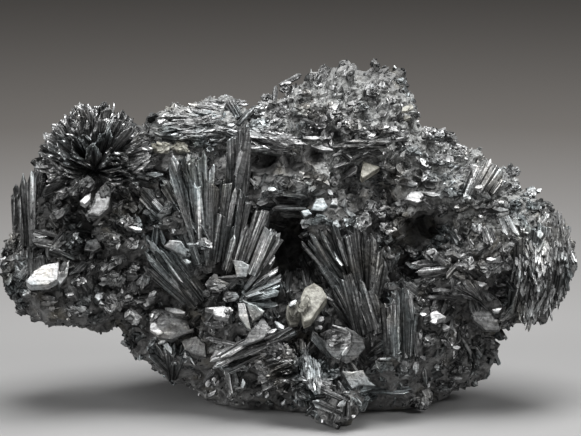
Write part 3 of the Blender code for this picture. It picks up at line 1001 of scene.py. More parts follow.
@dataclass(frozen=True)
class Drawing:
    """The show face as it is drawn, in columns to the right and rows down of a tenth of a millimetre."""

    eye: Triple
    aim: Triple
    middle: tuple[float, float] = (290.5, 218.0)
    focus: float = 2905.0

    def ray(self, column: float, row: float) -> Vector:
        """The direction from the eye through a point of the drawing.

        Args:
            column: its column.
            row: its row.

        Returns:
            The direction, one unit long.
        """
        ahead = (Vector(self.aim) - Vector(self.eye)).normalized()
        right = Vector((1, 0, 0))
        up = right.cross(ahead)
        aside = right * (column - self.middle[0])
        return (ahead * self.focus + aside + up * (self.middle[1] - row)).normalized()

    def at_depth(self, column: float, row: float, y: float) -> Vector:
        """The point behind a place of the drawing at a given depth."""
        ray = self.ray(column, row)
        return Vector(self.eye) + ray * (y - self.eye[1]) / ray.y

    def distance(self) -> float:
        """From the eye to the middle of the specimen."""
        return (Vector(self.aim) - Vector(self.eye)).length

    def unit(self) -> float:
        """Millimetres in one column."""
        return self.distance() / self.focus


@dataclass
class Face:
    """The drawing laid over the rock, on which the drawn crystals are seated."""

    drawing: Drawing
    skin: Skin
    mirror: Triple = (0.07, -0.69, 0.72)
    left_mirror: Triple = (-0.40, -0.815, 0.42)
    right_mirror: Triple = (0.39, -0.79, 0.46)
    low: float = 9.0

    def shine(self, point: Vector) -> Vector:
        """Which way a bright facet faces at a point: it mirrors the lamp above, or low down one at the side.

        Args:
            point: where the facet is.

        Returns:
            The direction.
        """
        if point.z > self.low:
            return Vector(self.mirror)
        return Vector(self.left_mirror if point.x < 6.0 else self.right_mirror)

    def depth(self, column: float, row: float) -> float:
        """How deep the rock lies behind a place of the drawing, or beside it where there is none behind.

        Args:
            column: its column.
            row: its row.

        Returns:
            The depth along Y.
        """
        eye, ray = Vector(self.drawing.eye), self.drawing.ray(column, row)
        point, _, _, _ = self.skin.tree.ray_cast(eye, ray)
        if point is None:
            point = self.skin.tree.find_nearest(eye + ray * (self.drawing.distance() + 2.0))[0]
        return point.y

    def seat(self, column: float, row: float, lift: float) -> Vector:
        """The point behind a place of the drawing that stands off the rock by a little.

        Args:
            column: its column.
            row: its row.
            lift: how far it stands in front of the rock.

        Returns:
            The point, drawn in to the rock where the drawing runs past its edge.
        """
        place = self.drawing.at_depth(column, row, self.depth(column, row) - lift)
        near = self.skin.tree.find_nearest(place)[0]
        away = place - near
        return near + away * min(1.0, (0.35 + lift) / max(1e-6, away.length))

    def turned(self, point: Vector, tone_and_painted_light: float, spread: float, rng: random.Random) -> Vector:
        """The direction of a crystal's flat side: dark ones face the viewer and bright ones mirror the light.

        Args:
            point: where the crystal is.
            tone_and_painted_light: how bright it is.
            spread: how far it may turn away at random.
            rng: the random draws.

        Returns:
            The direction.
        """
        view = -self.drawing.ray(*self.drawing.middle)
        away = stray(rng, spread)
        return (view.lerp(self.shine(point), min(1.0, 0.15 + tone_and_painted_light)) + away).normalized()


@dataclass(frozen=True)
class Plank:
    """A drawn blade, made of splinters side by side, from a root to a tip in columns and rows."""

    root_column: float
    root_row: float
    tip_column: float
    tip_row: float
    width: float
    tone_and_painted_light: float
    lift: float = 0.7
    base: float = 0.0
    layers: int = 2

    def grow(self, pile: Pile, rng: random.Random, face: Face) -> None:
        """Adds the blade to a pile.

        Args:
            pile: where the crystals go.
            rng: the random draws.
            face: where it is seated.
        """
        unit = face.drawing.unit()
        start = face.depth(self.root_column, self.root_row) - self.base
        end = min(face.depth(self.tip_column, self.tip_row), start + 2.5) - self.lift
        root = face.drawing.at_depth(self.root_column, self.root_row, start)
        tip = face.drawing.at_depth(self.tip_column, self.tip_row, end)
        along = (tip - root).normalized()
        length = (tip - root).length + 0.4
        normal = face.turned(root.lerp(tip, 0.5), self.tone_and_painted_light, 0.13, rng)
        normal = (normal - normal.project(along)).normalized()
        across = normal.cross(along)
        width = self.width * unit
        count = max(1, round(width / 0.5))
        thick = min(0.5, 0.22 + 0.16 * width)
        spread = 0.35 * width / length
        for layer in range(self.layers):
            for index in range(count):
                offset = (index + 0.5 + rng.uniform(-0.3, 0.3)) / count - 0.5
                origin = root - along * 0.4 + across * width * offset * 0.7
                origin += normal * (rng.uniform(-0.6, 0.6) * thick - 0.5 * thick * layer)
                size = (
                    length * (1 - rng.choice((0.02, 0.08, 0.16, 0.4)) * rng.random()) * (1 - 0.06 * layer),
                    width / count * rng.uniform(1.0, 1.9), thick * rng.uniform(0.7, 1.2),
                )
                turn = Matrix.Rotation(offset * spread + rng.gauss(0, 0.022), 3, normal)
                roll = Matrix.Rotation(rng.gauss(0, 0.34), 3, along)
                place = placement(origin, turn @ along, roll @ across)
                shade = clamped(self.tone_and_painted_light + rng.uniform(-0.2, 0.2))
                habit = rng.choice((Habit.LATH, Habit.LATH, Habit.SLIP)) if count > 1 else Habit.SLIP
                pile.add(habit, place, size, shade, rng.gauss(0, 0.02))


@dataclass(frozen=True)
class Leaf:
    """A drawn plate about its middle, with the angle of its longer side from the right upwards in degrees."""

    column: float
    row: float
    length: float
    width: float
    angle: float
    tone_and_painted_light: float
    lift: float = 0.3
    habit: Habit = Habit.TABLE
    crust: float = 9.0

    def grow(self, pile: Pile, rng: random.Random, face: Face) -> None:
        """Adds the plate to a pile, as one flake or as a slab under a crust of them.

        Args:
            pile: where the crystals go.
            rng: the random draws.
            face: where it is seated.
        """
        unit = face.drawing.unit()
        middle = face.seat(self.column, self.row, self.lift)
        angle = math.radians(self.angle)
        level = Vector((math.cos(angle), 0, math.sin(angle)))
        view = -face.drawing.ray(*face.drawing.middle)
        normal = face.turned(middle, self.tone_and_painted_light, 0.1, rng)
        along = (level - level.project(normal)).normalized()
        across = normal.cross(along)
        length, width = self.length * unit, self.width * unit / max(0.75, abs(normal.dot(view)))
        thick = min(0.8, 0.25 + 0.12 * length)
        if min(self.length, self.width) < 7:
            place = placement(middle - along * length / 2, along, across)
            pile.add(Habit.FLAKE, place, (length, width, thick), self.tone_and_painted_light, lined=0.3)
            return
        place = placement(middle - along * 0.46 * length - normal * 0.5 * thick, along, across)
        pile.add(self.habit, place, (0.92 * length, 0.92 * width, thick), 0.6 * self.tone_and_painted_light, lined=0.3)
        bark = self.habit is Habit.LATH
        rough = 1.3 if bark else 1.0 if self.tone_and_painted_light > 0.5 else 0.45
        for _ in range(round(4 + self.crust * rough * length * width)):
            turn, far = rng.uniform(0, math.tau), rng.random() ** 0.6
            wander = (0.14 if bark else 0.5) * stray(rng)
            aim = (along * rng.choice((-1, 1)) + wander).normalized()
            flat = (normal + 0.34 * stray(rng)).normalized()
            spot = middle + (along * math.cos(turn) * length + across * math.sin(turn) * width) * 0.46 * far
            spot += normal * (rng.uniform(-0.1, 0.25) - 0.3 * far * far * thick)
            size = rng.uniform(0.4, 1.0) * min(1.4, 0.35 + 0.3 * length) * (1.5 - 0.5 * rough)
            shape = (size, size * rng.uniform(0.45, 0.85), rng.uniform(0.12, 0.24))
            if bark:
                shape = (2.2 * size, 0.42 * shape[1], shape[2])
            shade = clamped(self.tone_and_painted_light + rng.gauss(-0.05, 0.1 if bark else 0.16))
            habit = Habit.SLIP if bark else rng.choice((Habit.FLAKE, Habit.FLAKE, Habit.SLIP))
            pile.add(habit, placement(spot - aim * size / 2, aim, flat.cross(aim)), shape, shade, lined=0.5)


@dataclass(frozen=True)
class Panel:
    """A drawn plate with its own outline, given by its corners in columns and rows."""

    corners: tuple[tuple[float, float], ...]
    tone_and_painted_light: float
    lift: float = 0.6
    thick: float = 0.7
    rim: float = 0.12
    lined: float = 0.2

    def grow(self, pile: Pile, rng: random.Random, face: Face) -> None:
        """Adds the plate to a pile.

        Args:
            pile: where the crystals go.
            rng: the random draws.
            face: where it is seated.
        """
        drawing = face.drawing
        column, row = (sum(corner[k] for corner in self.corners) / len(self.corners) for k in (0, 1))
        centre = face.seat(column, row, self.lift)
        normal = face.turned(centre, self.tone_and_painted_light - 0.05, 0.05, rng)
        along = Vector((1, 0, 0)) - Vector((1, 0, 0)).project(normal)
        place = placement(centre, along, normal.cross(along))
        eye = Vector(drawing.eye)
        bm = bmesh.new()
        verts = []
        for corner in self.corners:
            ray = drawing.ray(*corner)
            point = eye + ray * ((centre - eye).dot(normal) / ray.dot(normal))
            verts.append(bm.verts.new(place.inverted() @ point))
        bmesh.ops.contextual_create(bm, geom=verts)
        bmesh.ops.recalc_face_normals(bm, faces=bm.faces[:])
        raised = bmesh.ops.extrude_face_region(bm, geom=bm.faces[:], use_keep_orig=True)
        moved = [item for item in raised["geom"] if isinstance(item, bmesh.types.BMVert)]
        bmesh.ops.translate(bm, verts=moved, vec=(0, 0, -self.thick))
        bmesh.ops.recalc_face_normals(bm, faces=bm.faces[:])
        for side in (1, -1):
            flat = [polygon for polygon in bm.faces if polygon.normal.z * side > 0.97]
            bmesh.ops.inset_region(bm, faces=flat, thickness=self.rim, depth=0.4 * self.rim)
        pile.put(finished_template(bm, even=True), place, (1.0, 1.0, 1.0), self.tone_and_painted_light, 0.0, 0.0, self.lined)


Drawn = Plank | Leaf | Panel


@dataclass
class CrystalGroup:
    """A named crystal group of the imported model, grown again in full detail."""

    node: str
    seed: int
    growths: tuple[Fan, ...] = ()
    drawn: tuple[Drawn, ...] = ()

    def build(
        self, forms: dict[Habit, list[Template]], face: Face, material: bpy.types.Material
    ) -> bpy.types.Object:
        """Grows the group.

        Args:
            forms: the crystal forms.
            face: where the drawn crystals are seated.
            material: its finish.

        Returns:
            The new piece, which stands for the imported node.
        """
        rng = random.Random(self.seed)
        pile = Pile(self.node + "_crystals", forms, rng)
        for growth in self.growths:
            growth.grow(pile, rng)
        for crystal in self.drawn:
            crystal.grow(pile, rng, face)
        obj = pile.mesh_object()
        obj.data.materials.append(material)
        return obj


TOWARDS_VIEWER = (0.0, -1.0, 0.15)

# A drawn crystal's brightness value sets its base colour: its own colour and painted light and shade.
LEFT_ROSETTE_DRAWN = (
    Panel(((80, 201), (86, 195), (91, 193), (90, 199), (85, 204)), 1.0, 3.8),
    Panel(((92, 205), (97, 192), (106, 182), (112, 188), (108, 208), (99, 216), (88, 214)), 0.45, 2.8, 0.8,
        0.2),
    Leaf(105, 192, 22, 10, 70, 0.4, 3.0), Leaf(92, 214, 14, 9, 30, 0.6, 2.6),
    Leaf(88, 183, 14, 10, 0, 0.3, 3.2), Leaf(74, 190, 14, 9, 50, 0.25, 2.2),
)

LEFT_EDGE_DRAWN = (
    Plank(28, 242, 21, 172, 6, 0.06), Plank(32, 242, 30, 165, 6, 0.11), Plank(36, 238, 28, 178, 5, 0.03),
    Plank(31, 208, 46, 172, 6, 0.31, 1.2), Plank(34, 216, 48, 180, 7, 0.21, 1.2),
    Plank(20, 222, 17, 174, 5, 0.03), Plank(15, 226, 15, 192, 5, 0.03), Plank(24, 246, 25, 185, 6, 0.16),
    Plank(40, 238, 43, 200, 5, 0.03), Plank(30, 200, 40, 160, 5, 0.06), Plank(44, 190, 46, 152, 6, 0.03),
    Leaf(45, 168, 10, 8, 60, 0.36, 0.8), Plank(60, 233, 28, 235, 3, 0.46, 1.0),
    Plank(62, 239, 30, 229, 3, 0.41, 1.0), Plank(64, 247, 32, 240, 4, 0.21, 1.2),
    Plank(63, 250, 28, 243, 3, 0.31, 1.0), Plank(65, 248, 80, 230, 6, 0.66, 1.2),
    Leaf(74, 242, 16, 9, 50, 0.03, 0.8), Leaf(20, 236, 11, 8, 0, 0.26), Leaf(17, 250, 10, 8, 80, 0.21),
    Leaf(29, 262, 15, 9, 30, 0.26), Leaf(20, 270, 9, 6, 0, 0.16), Leaf(38, 260, 12, 6, 50, 0.31),
    Leaf(30, 249, 8, 9, 0, 0.11), Leaf(12, 262, 9, 5, 80, 0.06),
)

LEFT_PLATES_DRAWN = (
    Leaf(14, 238, 18, 10, 80, 0.34, 0.9), Leaf(12, 251, 24, 13, 80, 0.34, 1.2),
    Leaf(10, 267, 26, 14, 88, 0.34, 1.3), Leaf(12, 284, 24, 14, 96, 0.24, 1.3),
    Leaf(18, 299, 22, 12, 120, 0.24, 1.1), Leaf(6, 258, 20, 9, 82, 0.29, 1.6),
    Leaf(6, 275, 20, 9, 94, 0.24, 1.6), Leaf(24, 310, 20, 10, 150, 0.19, 0.8),
    Leaf(22, 276, 22, 12, 70, 0.24, 1.2),
    Panel(((26, 281), (34, 271), (43, 265), (59, 262), (57, 279), (48, 284), (31, 285)), 0.92, 1.4, 0.9),
    Panel(((57, 280), (64, 262), (70, 259), (67, 276), (60, 285), (50, 285)), 0.7, 1.2),
    Leaf(63, 268, 13, 5, 65, 0.14, 1.5), Leaf(28, 291, 16, 7, -30, 0.69, 0.8),
    Leaf(48, 298, 14, 5, -10, 0.89, 0.8), Leaf(69, 294, 11, 6, -30, 0.74, 0.6),
    Leaf(52, 308, 7, 5, 80, 0.79, 0.5), Leaf(49, 304, 18, 5, 5, 0.44, 0.6),
    Leaf(78, 281, 12, 9, 60, 0.54, 0.8), Leaf(82, 280, 5, 9, 80, 0.79, 1.0),
    Leaf(80, 300, 22, 13, 10, 0.24, 0.6), Leaf(20, 290, 10, 5, -50, 0.44, 0.3),
)

GREAT_ROSETTE_DRAWN = (
    Plank(204, 256, 142, 182, 24, 0.11, 0.6, 1.0), Plank(200, 250, 150, 196, 20, 0.17, 0.8, 1.2),
    Plank(205, 244, 163, 172, 16, 0.09, 0.4, 0.8), Plank(196, 262, 176, 205, 12, 0.19, 1.0, 1.6),
    Plank(186, 200, 171, 150, 6, 0.79, 1.4, 1.2), Plank(192, 240, 165, 151, 5, 0.24, 1.2, 1.0),
    Plank(194, 250, 177, 166, 6, 0.04, 0.8, 1.2), Plank(206, 262, 180, 152, 8, 0.04, 0.8, 1.2),
    Plank(207, 262, 194, 141, 13, 0.39, 1.2, 1.4), Plank(202, 200, 199, 158, 4, 0.79, 1.8, 2.2),
    Plank(199, 240, 196, 176, 4, 0.69, 1.6, 2.0), Plank(212, 262, 205, 158, 6, 0.24, 1.0, 1.4),
    Plank(211, 192, 213, 161, 4, 0.84, 2.0, 2.2), Plank(212, 258, 218, 178, 17, 0.39, 1.6, 2.2),
    Plank(220, 258, 226, 170, 8, 0.19, 1.0, 1.4), Plank(225, 264, 233, 186, 8, 0.09, 1.2, 1.8),
    Plank(229, 222, 235, 186, 3, 0.84, 1.8, 2.4), Plank(233, 240, 230, 128, 12, 0.14, 1.0, 1.2),
    Plank(238, 230, 245, 118, 12, 0.09, 1.0, 1.2), Plank(229, 175, 229, 138, 3, 0.69, 1.6, 1.8),
    Plank(237, 172, 244, 148, 3, 0.74, 1.6, 1.8), Plank(236, 200, 250, 122, 5, 0.19, 1.0, 1.2),
    Plank(234, 256, 245, 188, 11, 0.54, 1.6, 2.2), Plank(225, 266, 238, 222, 4, 0.69, 1.6, 2.4),
    Plank(230, 268, 246, 220, 4, 0.19, 1.4, 2.0), Plank(236, 260, 251, 216, 6, 0.64, 1.6, 2.2),
    Plank(244, 262, 263, 204, 10, 0.34, 1.4, 1.8), Plank(250, 268, 270, 202, 6, 0.19, 1.2, 1.6),
    Plank(254, 272, 272, 228, 12, 0.39, 1.8, 2.0), Plank(262, 264, 279, 232, 8, 0.29, 1.4, 1.8),
    Panel(((265, 252), (273, 247), (275, 258), (270, 265), (266, 261)), 1.0, 3.2),
    Leaf(268, 232, 16, 5, -10, 0.68, 3.2), Plank(268, 262, 275, 230, 4, 0.59, 2.2, 2.6),
    Plank(248, 289, 267, 262, 5, 0.09, 1.2, 1.4), Plank(247, 286, 262, 266, 3, 0.79, 1.6, 1.8),
    Plank(246, 292, 284, 268, 9, 0.34, 1.4, 1.4), Plank(248, 296, 285, 280, 8, 0.44, 1.4, 1.2),
    Plank(248, 300, 284, 291, 6, 0.39, 1.2, 1.0), Plank(250, 297, 262, 293, 3, 0.84, 1.6, 1.8),
    Plank(252, 303, 280, 303, 7, 0.24, 0.8, 0.8), Plank(200, 298, 158, 244, 24, 0.03, 1.2, 1.4, 3),
    Plank(194, 302, 141, 233, 4, 0.79, 1.8, 2.0), Plank(190, 300, 137, 246, 4, 0.74, 1.8, 2.2),
    Plank(184, 290, 142, 237, 4, 0.64, 2.0, 2.2), Plank(182, 300, 137, 260, 5, 0.24, 1.6, 1.8),
    Plank(170, 290, 141, 262, 4, 0.64, 1.8, 2.0), Plank(192, 306, 150, 268, 6, 0.19, 1.2, 1.4),
    Plank(178, 284, 150, 246, 4, 0.39, 2.0, 2.2),
    Panel(((164, 246), (170, 240), (181, 241), (187, 250), (186, 257), (176, 252)), 0.32, 2.6),
    Leaf(184, 254, 12, 9, -30, 0.33, 2.4), Leaf(190, 245, 6, 3, 0, 0.88, 3.0),
    Leaf(186, 262, 9, 4, 0, 0.88, 3.0), Leaf(204, 244, 14, 10, 0, 0.63, 2.8),
    Leaf(209, 246, 4, 7, -70, 0.88, 3.0), Leaf(200, 268, 24, 18, 20, 0.08, 1.6),
    Panel(((233, 260), (242, 261), (253, 267), (246, 277), (237, 277)), 0.35, 2.8),
    Leaf(216, 284, 18, 13, -10, 0.48, 2.4), Plank(222, 278, 245, 276, 3, 0.74, 2.4, 2.2),
    Leaf(236, 284, 22, 9, 0, 0.33, 2.2), Leaf(210, 294, 16, 10, 0, 0.18, 1.8),
    Panel(((205, 308), (213, 310), (224, 306), (232, 310), (228, 319), (214, 315)), 0.8, 2.0),
    Leaf(228, 310, 8, 8, 50, 0.78, 2.2),
    Panel(((238, 303), (245, 303), (251, 330), (247, 328), (239, 316)), 0.4, 2.4),
    Panel(((246, 304), (256, 305), (263, 314), (252, 322)), 0.2, 2.2),
    Plank(246, 302, 266, 312, 3, 0.59, 1.8, 1.8), Leaf(232, 296, 20, 9, 0, 0.18, 1.6),
)

CENTRAL_FAN_DRAWN = (
    Plank(354, 302, 303, 238, 8, 0.07, 1.0, 1.4), Leaf(306, 234, 14, 7, 45, 0.52, 2.0),
    Plank(352, 292, 311, 236, 6, 0.03, 1.2, 1.4), Plank(348, 278, 317, 226, 5, 0.12, 1.2, 1.4),
    Plank(352, 284, 325, 222, 6, 0.03, 1.0, 1.4), Plank(356, 290, 333, 228, 6, 0.03, 1.0, 1.4),
    Plank(360, 292, 345, 228, 9, 0.12, 1.2, 1.6), Plank(363, 292, 352, 212, 9, 0.12, 1.0, 1.2),
    Plank(366, 298, 362, 216, 10, 0.12, 1.0, 1.2), Plank(369, 300, 371, 232, 9, 0.07, 1.0, 1.2),
    Plank(373, 302, 379, 246, 8, 0.03, 1.0, 1.2), Plank(376, 304, 390, 250, 7, 0.03, 1.0, 1.2),
    Plank(334, 256, 320, 226, 3, 0.67, 1.8, 2.0), Plank(328, 262, 311, 232, 3, 0.57, 1.8, 2.0),
    Plank(346, 262, 337, 236, 3, 0.37, 1.8, 2.0), Plank(340, 262, 328, 246, 3, 0.52, 1.6, 2.0),
    Plank(356, 316, 320, 262, 9, 0.03, 1.0, 1.2), Plank(350, 322, 322, 286, 8, 0.03, 0.8, 1.0),
    Plank(358, 330, 334, 280, 12, 0.03, 1.0, 1.4), Plank(362, 334, 346, 270, 13, 0.03, 1.2, 1.6),
    Plank(308, 250, 300, 240, 3, 0.57, 1.6, 2.0), Plank(366, 330, 356, 290, 9, 0.03, 1.0, 1.6),
    Plank(374, 326, 357, 277, 5, 0.52, 1.8, 2.2), Plank(372, 326, 363, 293, 7, 0.42, 1.8, 2.4),
    Plank(381, 324, 369, 288, 8, 0.17, 1.6, 1.8), Plank(378, 330, 372, 296, 7, 0.07, 1.2, 1.6),
    Plank(394, 352, 392, 291, 8, 0.27, 1.4, 1.4), Plank(401, 356, 399, 283, 9, 0.17, 1.2, 1.2),
    Plank(409, 352, 411, 289, 7, 0.37, 1.4, 1.2), Plank(411, 316, 408, 292, 4, 0.67, 1.8, 1.8),
    Plank(413, 345, 415, 304, 5, 0.27, 1.2, 1.0), Plank(388, 350, 385, 300, 8, 0.07, 1.2, 1.2),
    Leaf(361, 224, 22, 15, 40, 0.47, 1.4), Leaf(349, 213, 14, 6, -50, 0.37, 1.2),
    Leaf(350, 222, 8, 14, 70, 0.27, 1.2), Leaf(370, 207, 16, 13, 70, 0.37, 0.6),
    Leaf(377, 262, 14, 10, 60, 0.07, 0.8),
)

RIGHT_FAN_DRAWN = (
    Leaf(436, 256, 30, 11, -8, 0.49, 1.6), Plank(448, 258, 405, 265, 6, 0.59, 1.4, 1.0),
    Leaf(410, 266, 12, 6, -40, 0.64, 1.8), Plank(436, 263, 406, 269, 4, 0.34, 1.2, 0.8),
    Plank(452, 268, 412, 272, 4, 0.69, 1.2, 0.8), Plank(446, 272, 418, 278, 4, 0.64, 1.2, 0.8),
    Leaf(428, 277, 8, 3, 0, 0.94, 1.8), Plank(458, 266, 445, 281, 6, 0.69, 1.6, 1.2),
    Plank(440, 256, 451, 265, 3, 0.79, 1.8, 1.6), Plank(444, 252, 452, 262, 3, 0.69, 1.8, 1.6),
    Plank(436, 258, 447, 268, 3, 0.59, 1.8, 1.6), Leaf(424, 266, 24, 7, 4, 0.03, 0.8),
    Leaf(432, 284, 32, 12, 0, 0.09, 0.8), Leaf(424, 286, 8, 5, 0, 0.49, 1.2),
    Plank(452, 297, 418, 296, 4, 0.54, 1.0, 0.6), Plank(448, 290, 428, 288, 3, 0.64, 1.2, 0.8),
    Leaf(465, 262, 18, 15, 70, 0.59, 1.4), Leaf(455, 252, 16, 8, 10, 0.44, 1.2),
    Plank(478, 298, 454, 284, 3, 0.79, 1.4, 1.2), Plank(478, 297, 457, 281, 3, 0.34, 1.4, 1.2),
    Plank(478, 297, 461, 278, 3, 0.84, 1.6, 1.2), Plank(479, 296, 465, 277, 3, 0.34, 1.6, 1.2),
    Plank(479, 296, 469, 276, 3, 0.89, 1.8, 1.2), Plank(480, 295, 472, 278, 3, 0.39, 1.6, 1.2),
    Plank(480, 295, 475, 280, 3, 0.84, 1.6, 1.2), Plank(476, 299, 453, 291, 3, 0.44, 1.4, 1.0),
    Leaf(481, 285, 10, 5, -25, 0.94, 1.6), Leaf(455, 292, 14, 8, 10, 0.34, 1.0),
    Leaf(460, 275, 12, 6, -30, 0.49, 1.2),
)

RIGHT_END_DRAWN = (
    Leaf(516, 300, 50, 16, 68, 0.21, 0.4, Habit.LATH), Leaf(528, 296, 54, 16, 74, 0.28, 0.6, Habit.LATH),
    Leaf(539, 292, 54, 16, 78, 0.36, 0.7, Habit.LATH), Leaf(549, 284, 54, 14, 80, 0.26, 0.7, Habit.LATH),
    Leaf(558, 278, 50, 13, 84, 0.26, 0.6, Habit.LATH), Leaf(566, 270, 44, 10, 88, 0.31, 0.4, Habit.LATH),
    Leaf(522, 256, 50, 15, 82, 0.36, 0.7, Habit.LATH), Leaf(533, 250, 56, 15, 84, 0.46, 0.9, Habit.LATH),
    Leaf(543, 246, 56, 14, 86, 0.61, 1, Habit.LATH), Leaf(553, 246, 54, 13, 88, 0.26, 0.8, Habit.LATH),
    Leaf(561, 244, 44, 12, 90, 0.31, 0.6, Habit.LATH), Leaf(568, 248, 34, 8, 92, 0.36, 0.4, Habit.LATH),
    Leaf(541, 272, 30, 9, 84, 0.66, 1.2, Habit.LATH), Leaf(531, 274, 34, 10, 80, 0.41, 1, Habit.LATH),
    Leaf(550, 264, 30, 9, 86, 0.21, 1.1, Habit.LATH), Leaf(543, 299, 30, 12, 60, 0.21, 0.5, Habit.LATH),
    Leaf(530, 307, 26, 11, 45, 0.21, 0.4, Habit.LATH), Leaf(515, 313, 28, 10, 35, 0.16, 0.3, Habit.LATH),
    Leaf(554, 289, 22, 9, 66, 0.26, 0.4, Habit.LATH), Leaf(504, 318, 26, 10, 30, 0.16, 0.3, Habit.LATH),
    Leaf(544, 254, 5, 4, 80, 0.86, 1.8), Leaf(562, 281, 11, 4, 20, 0.81, 1.0),
    Leaf(540, 236, 12, 6, 82, 0.76, 1.4), Plank(545, 262, 548, 226, 5, 0.56, 1.2, 0.9),
    Plank(553, 300, 560, 268, 5, 0.36, 0.9, 0.6), Plank(531, 300, 537, 266, 5, 0.36, 1.0, 0.7),
    Plank(511, 318, 520, 274, 13, 0.21, 0.8, 0.7), Plank(522, 313, 531, 266, 13, 0.31, 0.9, 0.8),
    Plank(533, 306, 542, 260, 12, 0.36, 0.9, 0.8), Plank(544, 298, 552, 252, 12, 0.21, 0.8, 0.7),
    Plank(553, 290, 560, 246, 10, 0.31, 0.7, 0.6), Plank(520, 284, 524, 234, 12, 0.31, 1.0, 0.9),
    Plank(531, 278, 535, 226, 12, 0.46, 1.2, 1.0), Plank(541, 272, 545, 222, 11, 0.56, 1.2, 1.0),
    Plank(551, 270, 554, 220, 10, 0.16, 1.0, 0.9), Plank(559, 268, 561, 224, 9, 0.31, 0.8, 0.7),
    Plank(565, 270, 567, 230, 7, 0.36, 0.6, 0.5),
)

RIGHT_ROSETTE_DRAWN = (
    Plank(464, 190, 472, 168, 4, 0.55, 1.0, 0.6), Plank(467, 191, 479, 163, 4, 0.75, 1.2, 0.8),
    Plank(471, 192, 486, 161, 4, 0.6, 1.2, 0.8), Plank(476, 192, 493, 159, 4, 0.8, 1.2, 0.8),
    Plank(481, 192, 499, 160, 4, 0.65, 1.2, 0.8), Plank(487, 190, 502, 167, 5, 0.75, 1.2, 0.8),
    Plank(493, 190, 504, 174, 5, 0.6, 1.2, 0.8), Leaf(494, 186, 20, 8, 18, 1.0, 1.8),
    Leaf(478, 188, 8, 5, 0, 1.0, 1.6), Leaf(468, 197, 8, 8, -40, 0.95, 1.2),
    Leaf(486, 172, 16, 6, 45, 0.75, 1.6), Leaf(500, 181, 7, 9, 60, 0.95, 1.4),
    Leaf(497, 203, 24, 8, 12, 0.6, 1.2), Leaf(500, 210, 16, 5, 0, 0.5, 1.4),
    Leaf(478, 204, 12, 12, 60, 0.5, 1.0), Plank(482, 196, 498, 201, 3, 0.85, 1.4, 1.2),
    Plank(488, 207, 508, 202, 3, 0.8, 1.6, 1.2), Plank(486, 212, 506, 208, 3, 0.7, 1.6, 1.2),
    Leaf(481, 217, 3, 6, 80, 1.0, 1.2), Leaf(479, 228, 16, 9, -10, 0.95, 1.2),
    Plank(484, 232, 488, 244, 3, 0.95, 1.4, 1.2), Plank(488, 232, 492, 245, 3, 0.9, 1.4, 1.2),
    Plank(492, 232, 496, 243, 3, 0.8, 1.2, 1.0), Leaf(518, 220, 20, 13, -50, 0.8, 1.0),
    Leaf(525, 229, 10, 8, 80, 0.85, 1.0), Plank(508, 220, 518, 238, 4, 0.8, 1.4, 1.0),
    Plank(502, 222, 508, 236, 4, 0.5, 1.2, 0.8), Leaf(513, 171, 12, 12, 30, 0.25, 0.4),
    Leaf(516, 187, 9, 8, 60, 0.75, 0.8), Leaf(530, 195, 14, 9, 10, 1.0, 0.8),
    Leaf(536, 185, 10, 6, 20, 0.5, 0.5), Leaf(541, 183, 5, 4, 0, 1.0, 0.5),
    Leaf(532, 206, 12, 9, 0, 0.6, 0.8), Leaf(515, 205, 14, 13, 60, 0.2, 0.6),
    Leaf(541, 206, 10, 8, 80, 0.3, 0.4), Leaf(546, 217, 7, 5, 30, 0.95, 0.6),
    Leaf(496, 259, 33, 27, 20, 0.45, 1.2), Leaf(491, 260, 9, 4, 5, 0.9, 1.8),
    Leaf(510, 263, 18, 11, -10, 0.55, 1.2), Leaf(505, 247, 16, 9, 20, 0.4, 1.2),
    Leaf(512, 240, 12, 8, 0, 0.35, 0.8), Leaf(522, 250, 12, 14, 70, 0.3, 0.6),
    Plank(506, 280, 520, 296, 3, 0.8, 1.0, 0.6), Plank(510, 278, 522, 292, 3, 0.6, 1.0, 0.6),
)

CENTRE_SHELF_DRAWN = (
    Leaf(284, 187, 44, 15, 10, 0.17, 1.4), Leaf(300, 180, 30, 10, 5, 0.12, 1.0),
    Leaf(286, 205, 38, 12, 4, 0.12, 1.0), Plank(292, 201, 255, 197, 5, 0.67, 1.8, 1.4),
    Plank(302, 190, 262, 184, 5, 0.22, 1.8, 1.4), Plank(304, 196, 268, 191, 4, 0.12, 1.8, 1.4),
    Plank(302, 208, 272, 206, 4, 0.27, 1.4, 1.2), Plank(302, 216, 276, 213, 5, 0.22, 1.2, 1.0),
    Leaf(272, 190, 8, 4, 0, 0.62, 2.0), Leaf(262, 203, 14, 6, 30, 0.32, 1.2),
    Leaf(305, 190, 16, 8, 70, 0.32, 1.2), Leaf(313, 188, 11, 6, 60, 0.47, 1.4),
    Leaf(320, 178, 12, 8, 20, 0.22, 0.8), Leaf(327, 183, 8, 4, -60, 0.77, 1.4),
    Leaf(330, 193, 8, 4, -60, 0.72, 1.4), Leaf(335, 181, 13, 9, 80, 0.37, 1.0),
    Panel(((311, 210), (316, 199), (323, 198), (328, 207), (323, 211)), 0.5, 1.8),
    Panel(((301, 211), (308, 209), (312, 214), (305, 217)), 0.45, 1.8),
    Panel(((330, 205), (332, 199), (337, 198), (338, 206)), 0.5, 1.6), Leaf(344, 203, 8, 6, 80, 0.32, 1.2),
    Leaf(322, 221, 24, 8, 0, 0.27, 1.6), Panel(((331, 223), (337, 219), (341, 227), (336, 228)), 0.5, 1.0),
    Leaf(309, 222, 14, 7, 0, 0.27, 1.6), Plank(274, 222, 291, 227, 3, 0.82, 0.8, 0.4),
    Leaf(318, 194, 14, 6, 10, 0.32, 1.2),
)

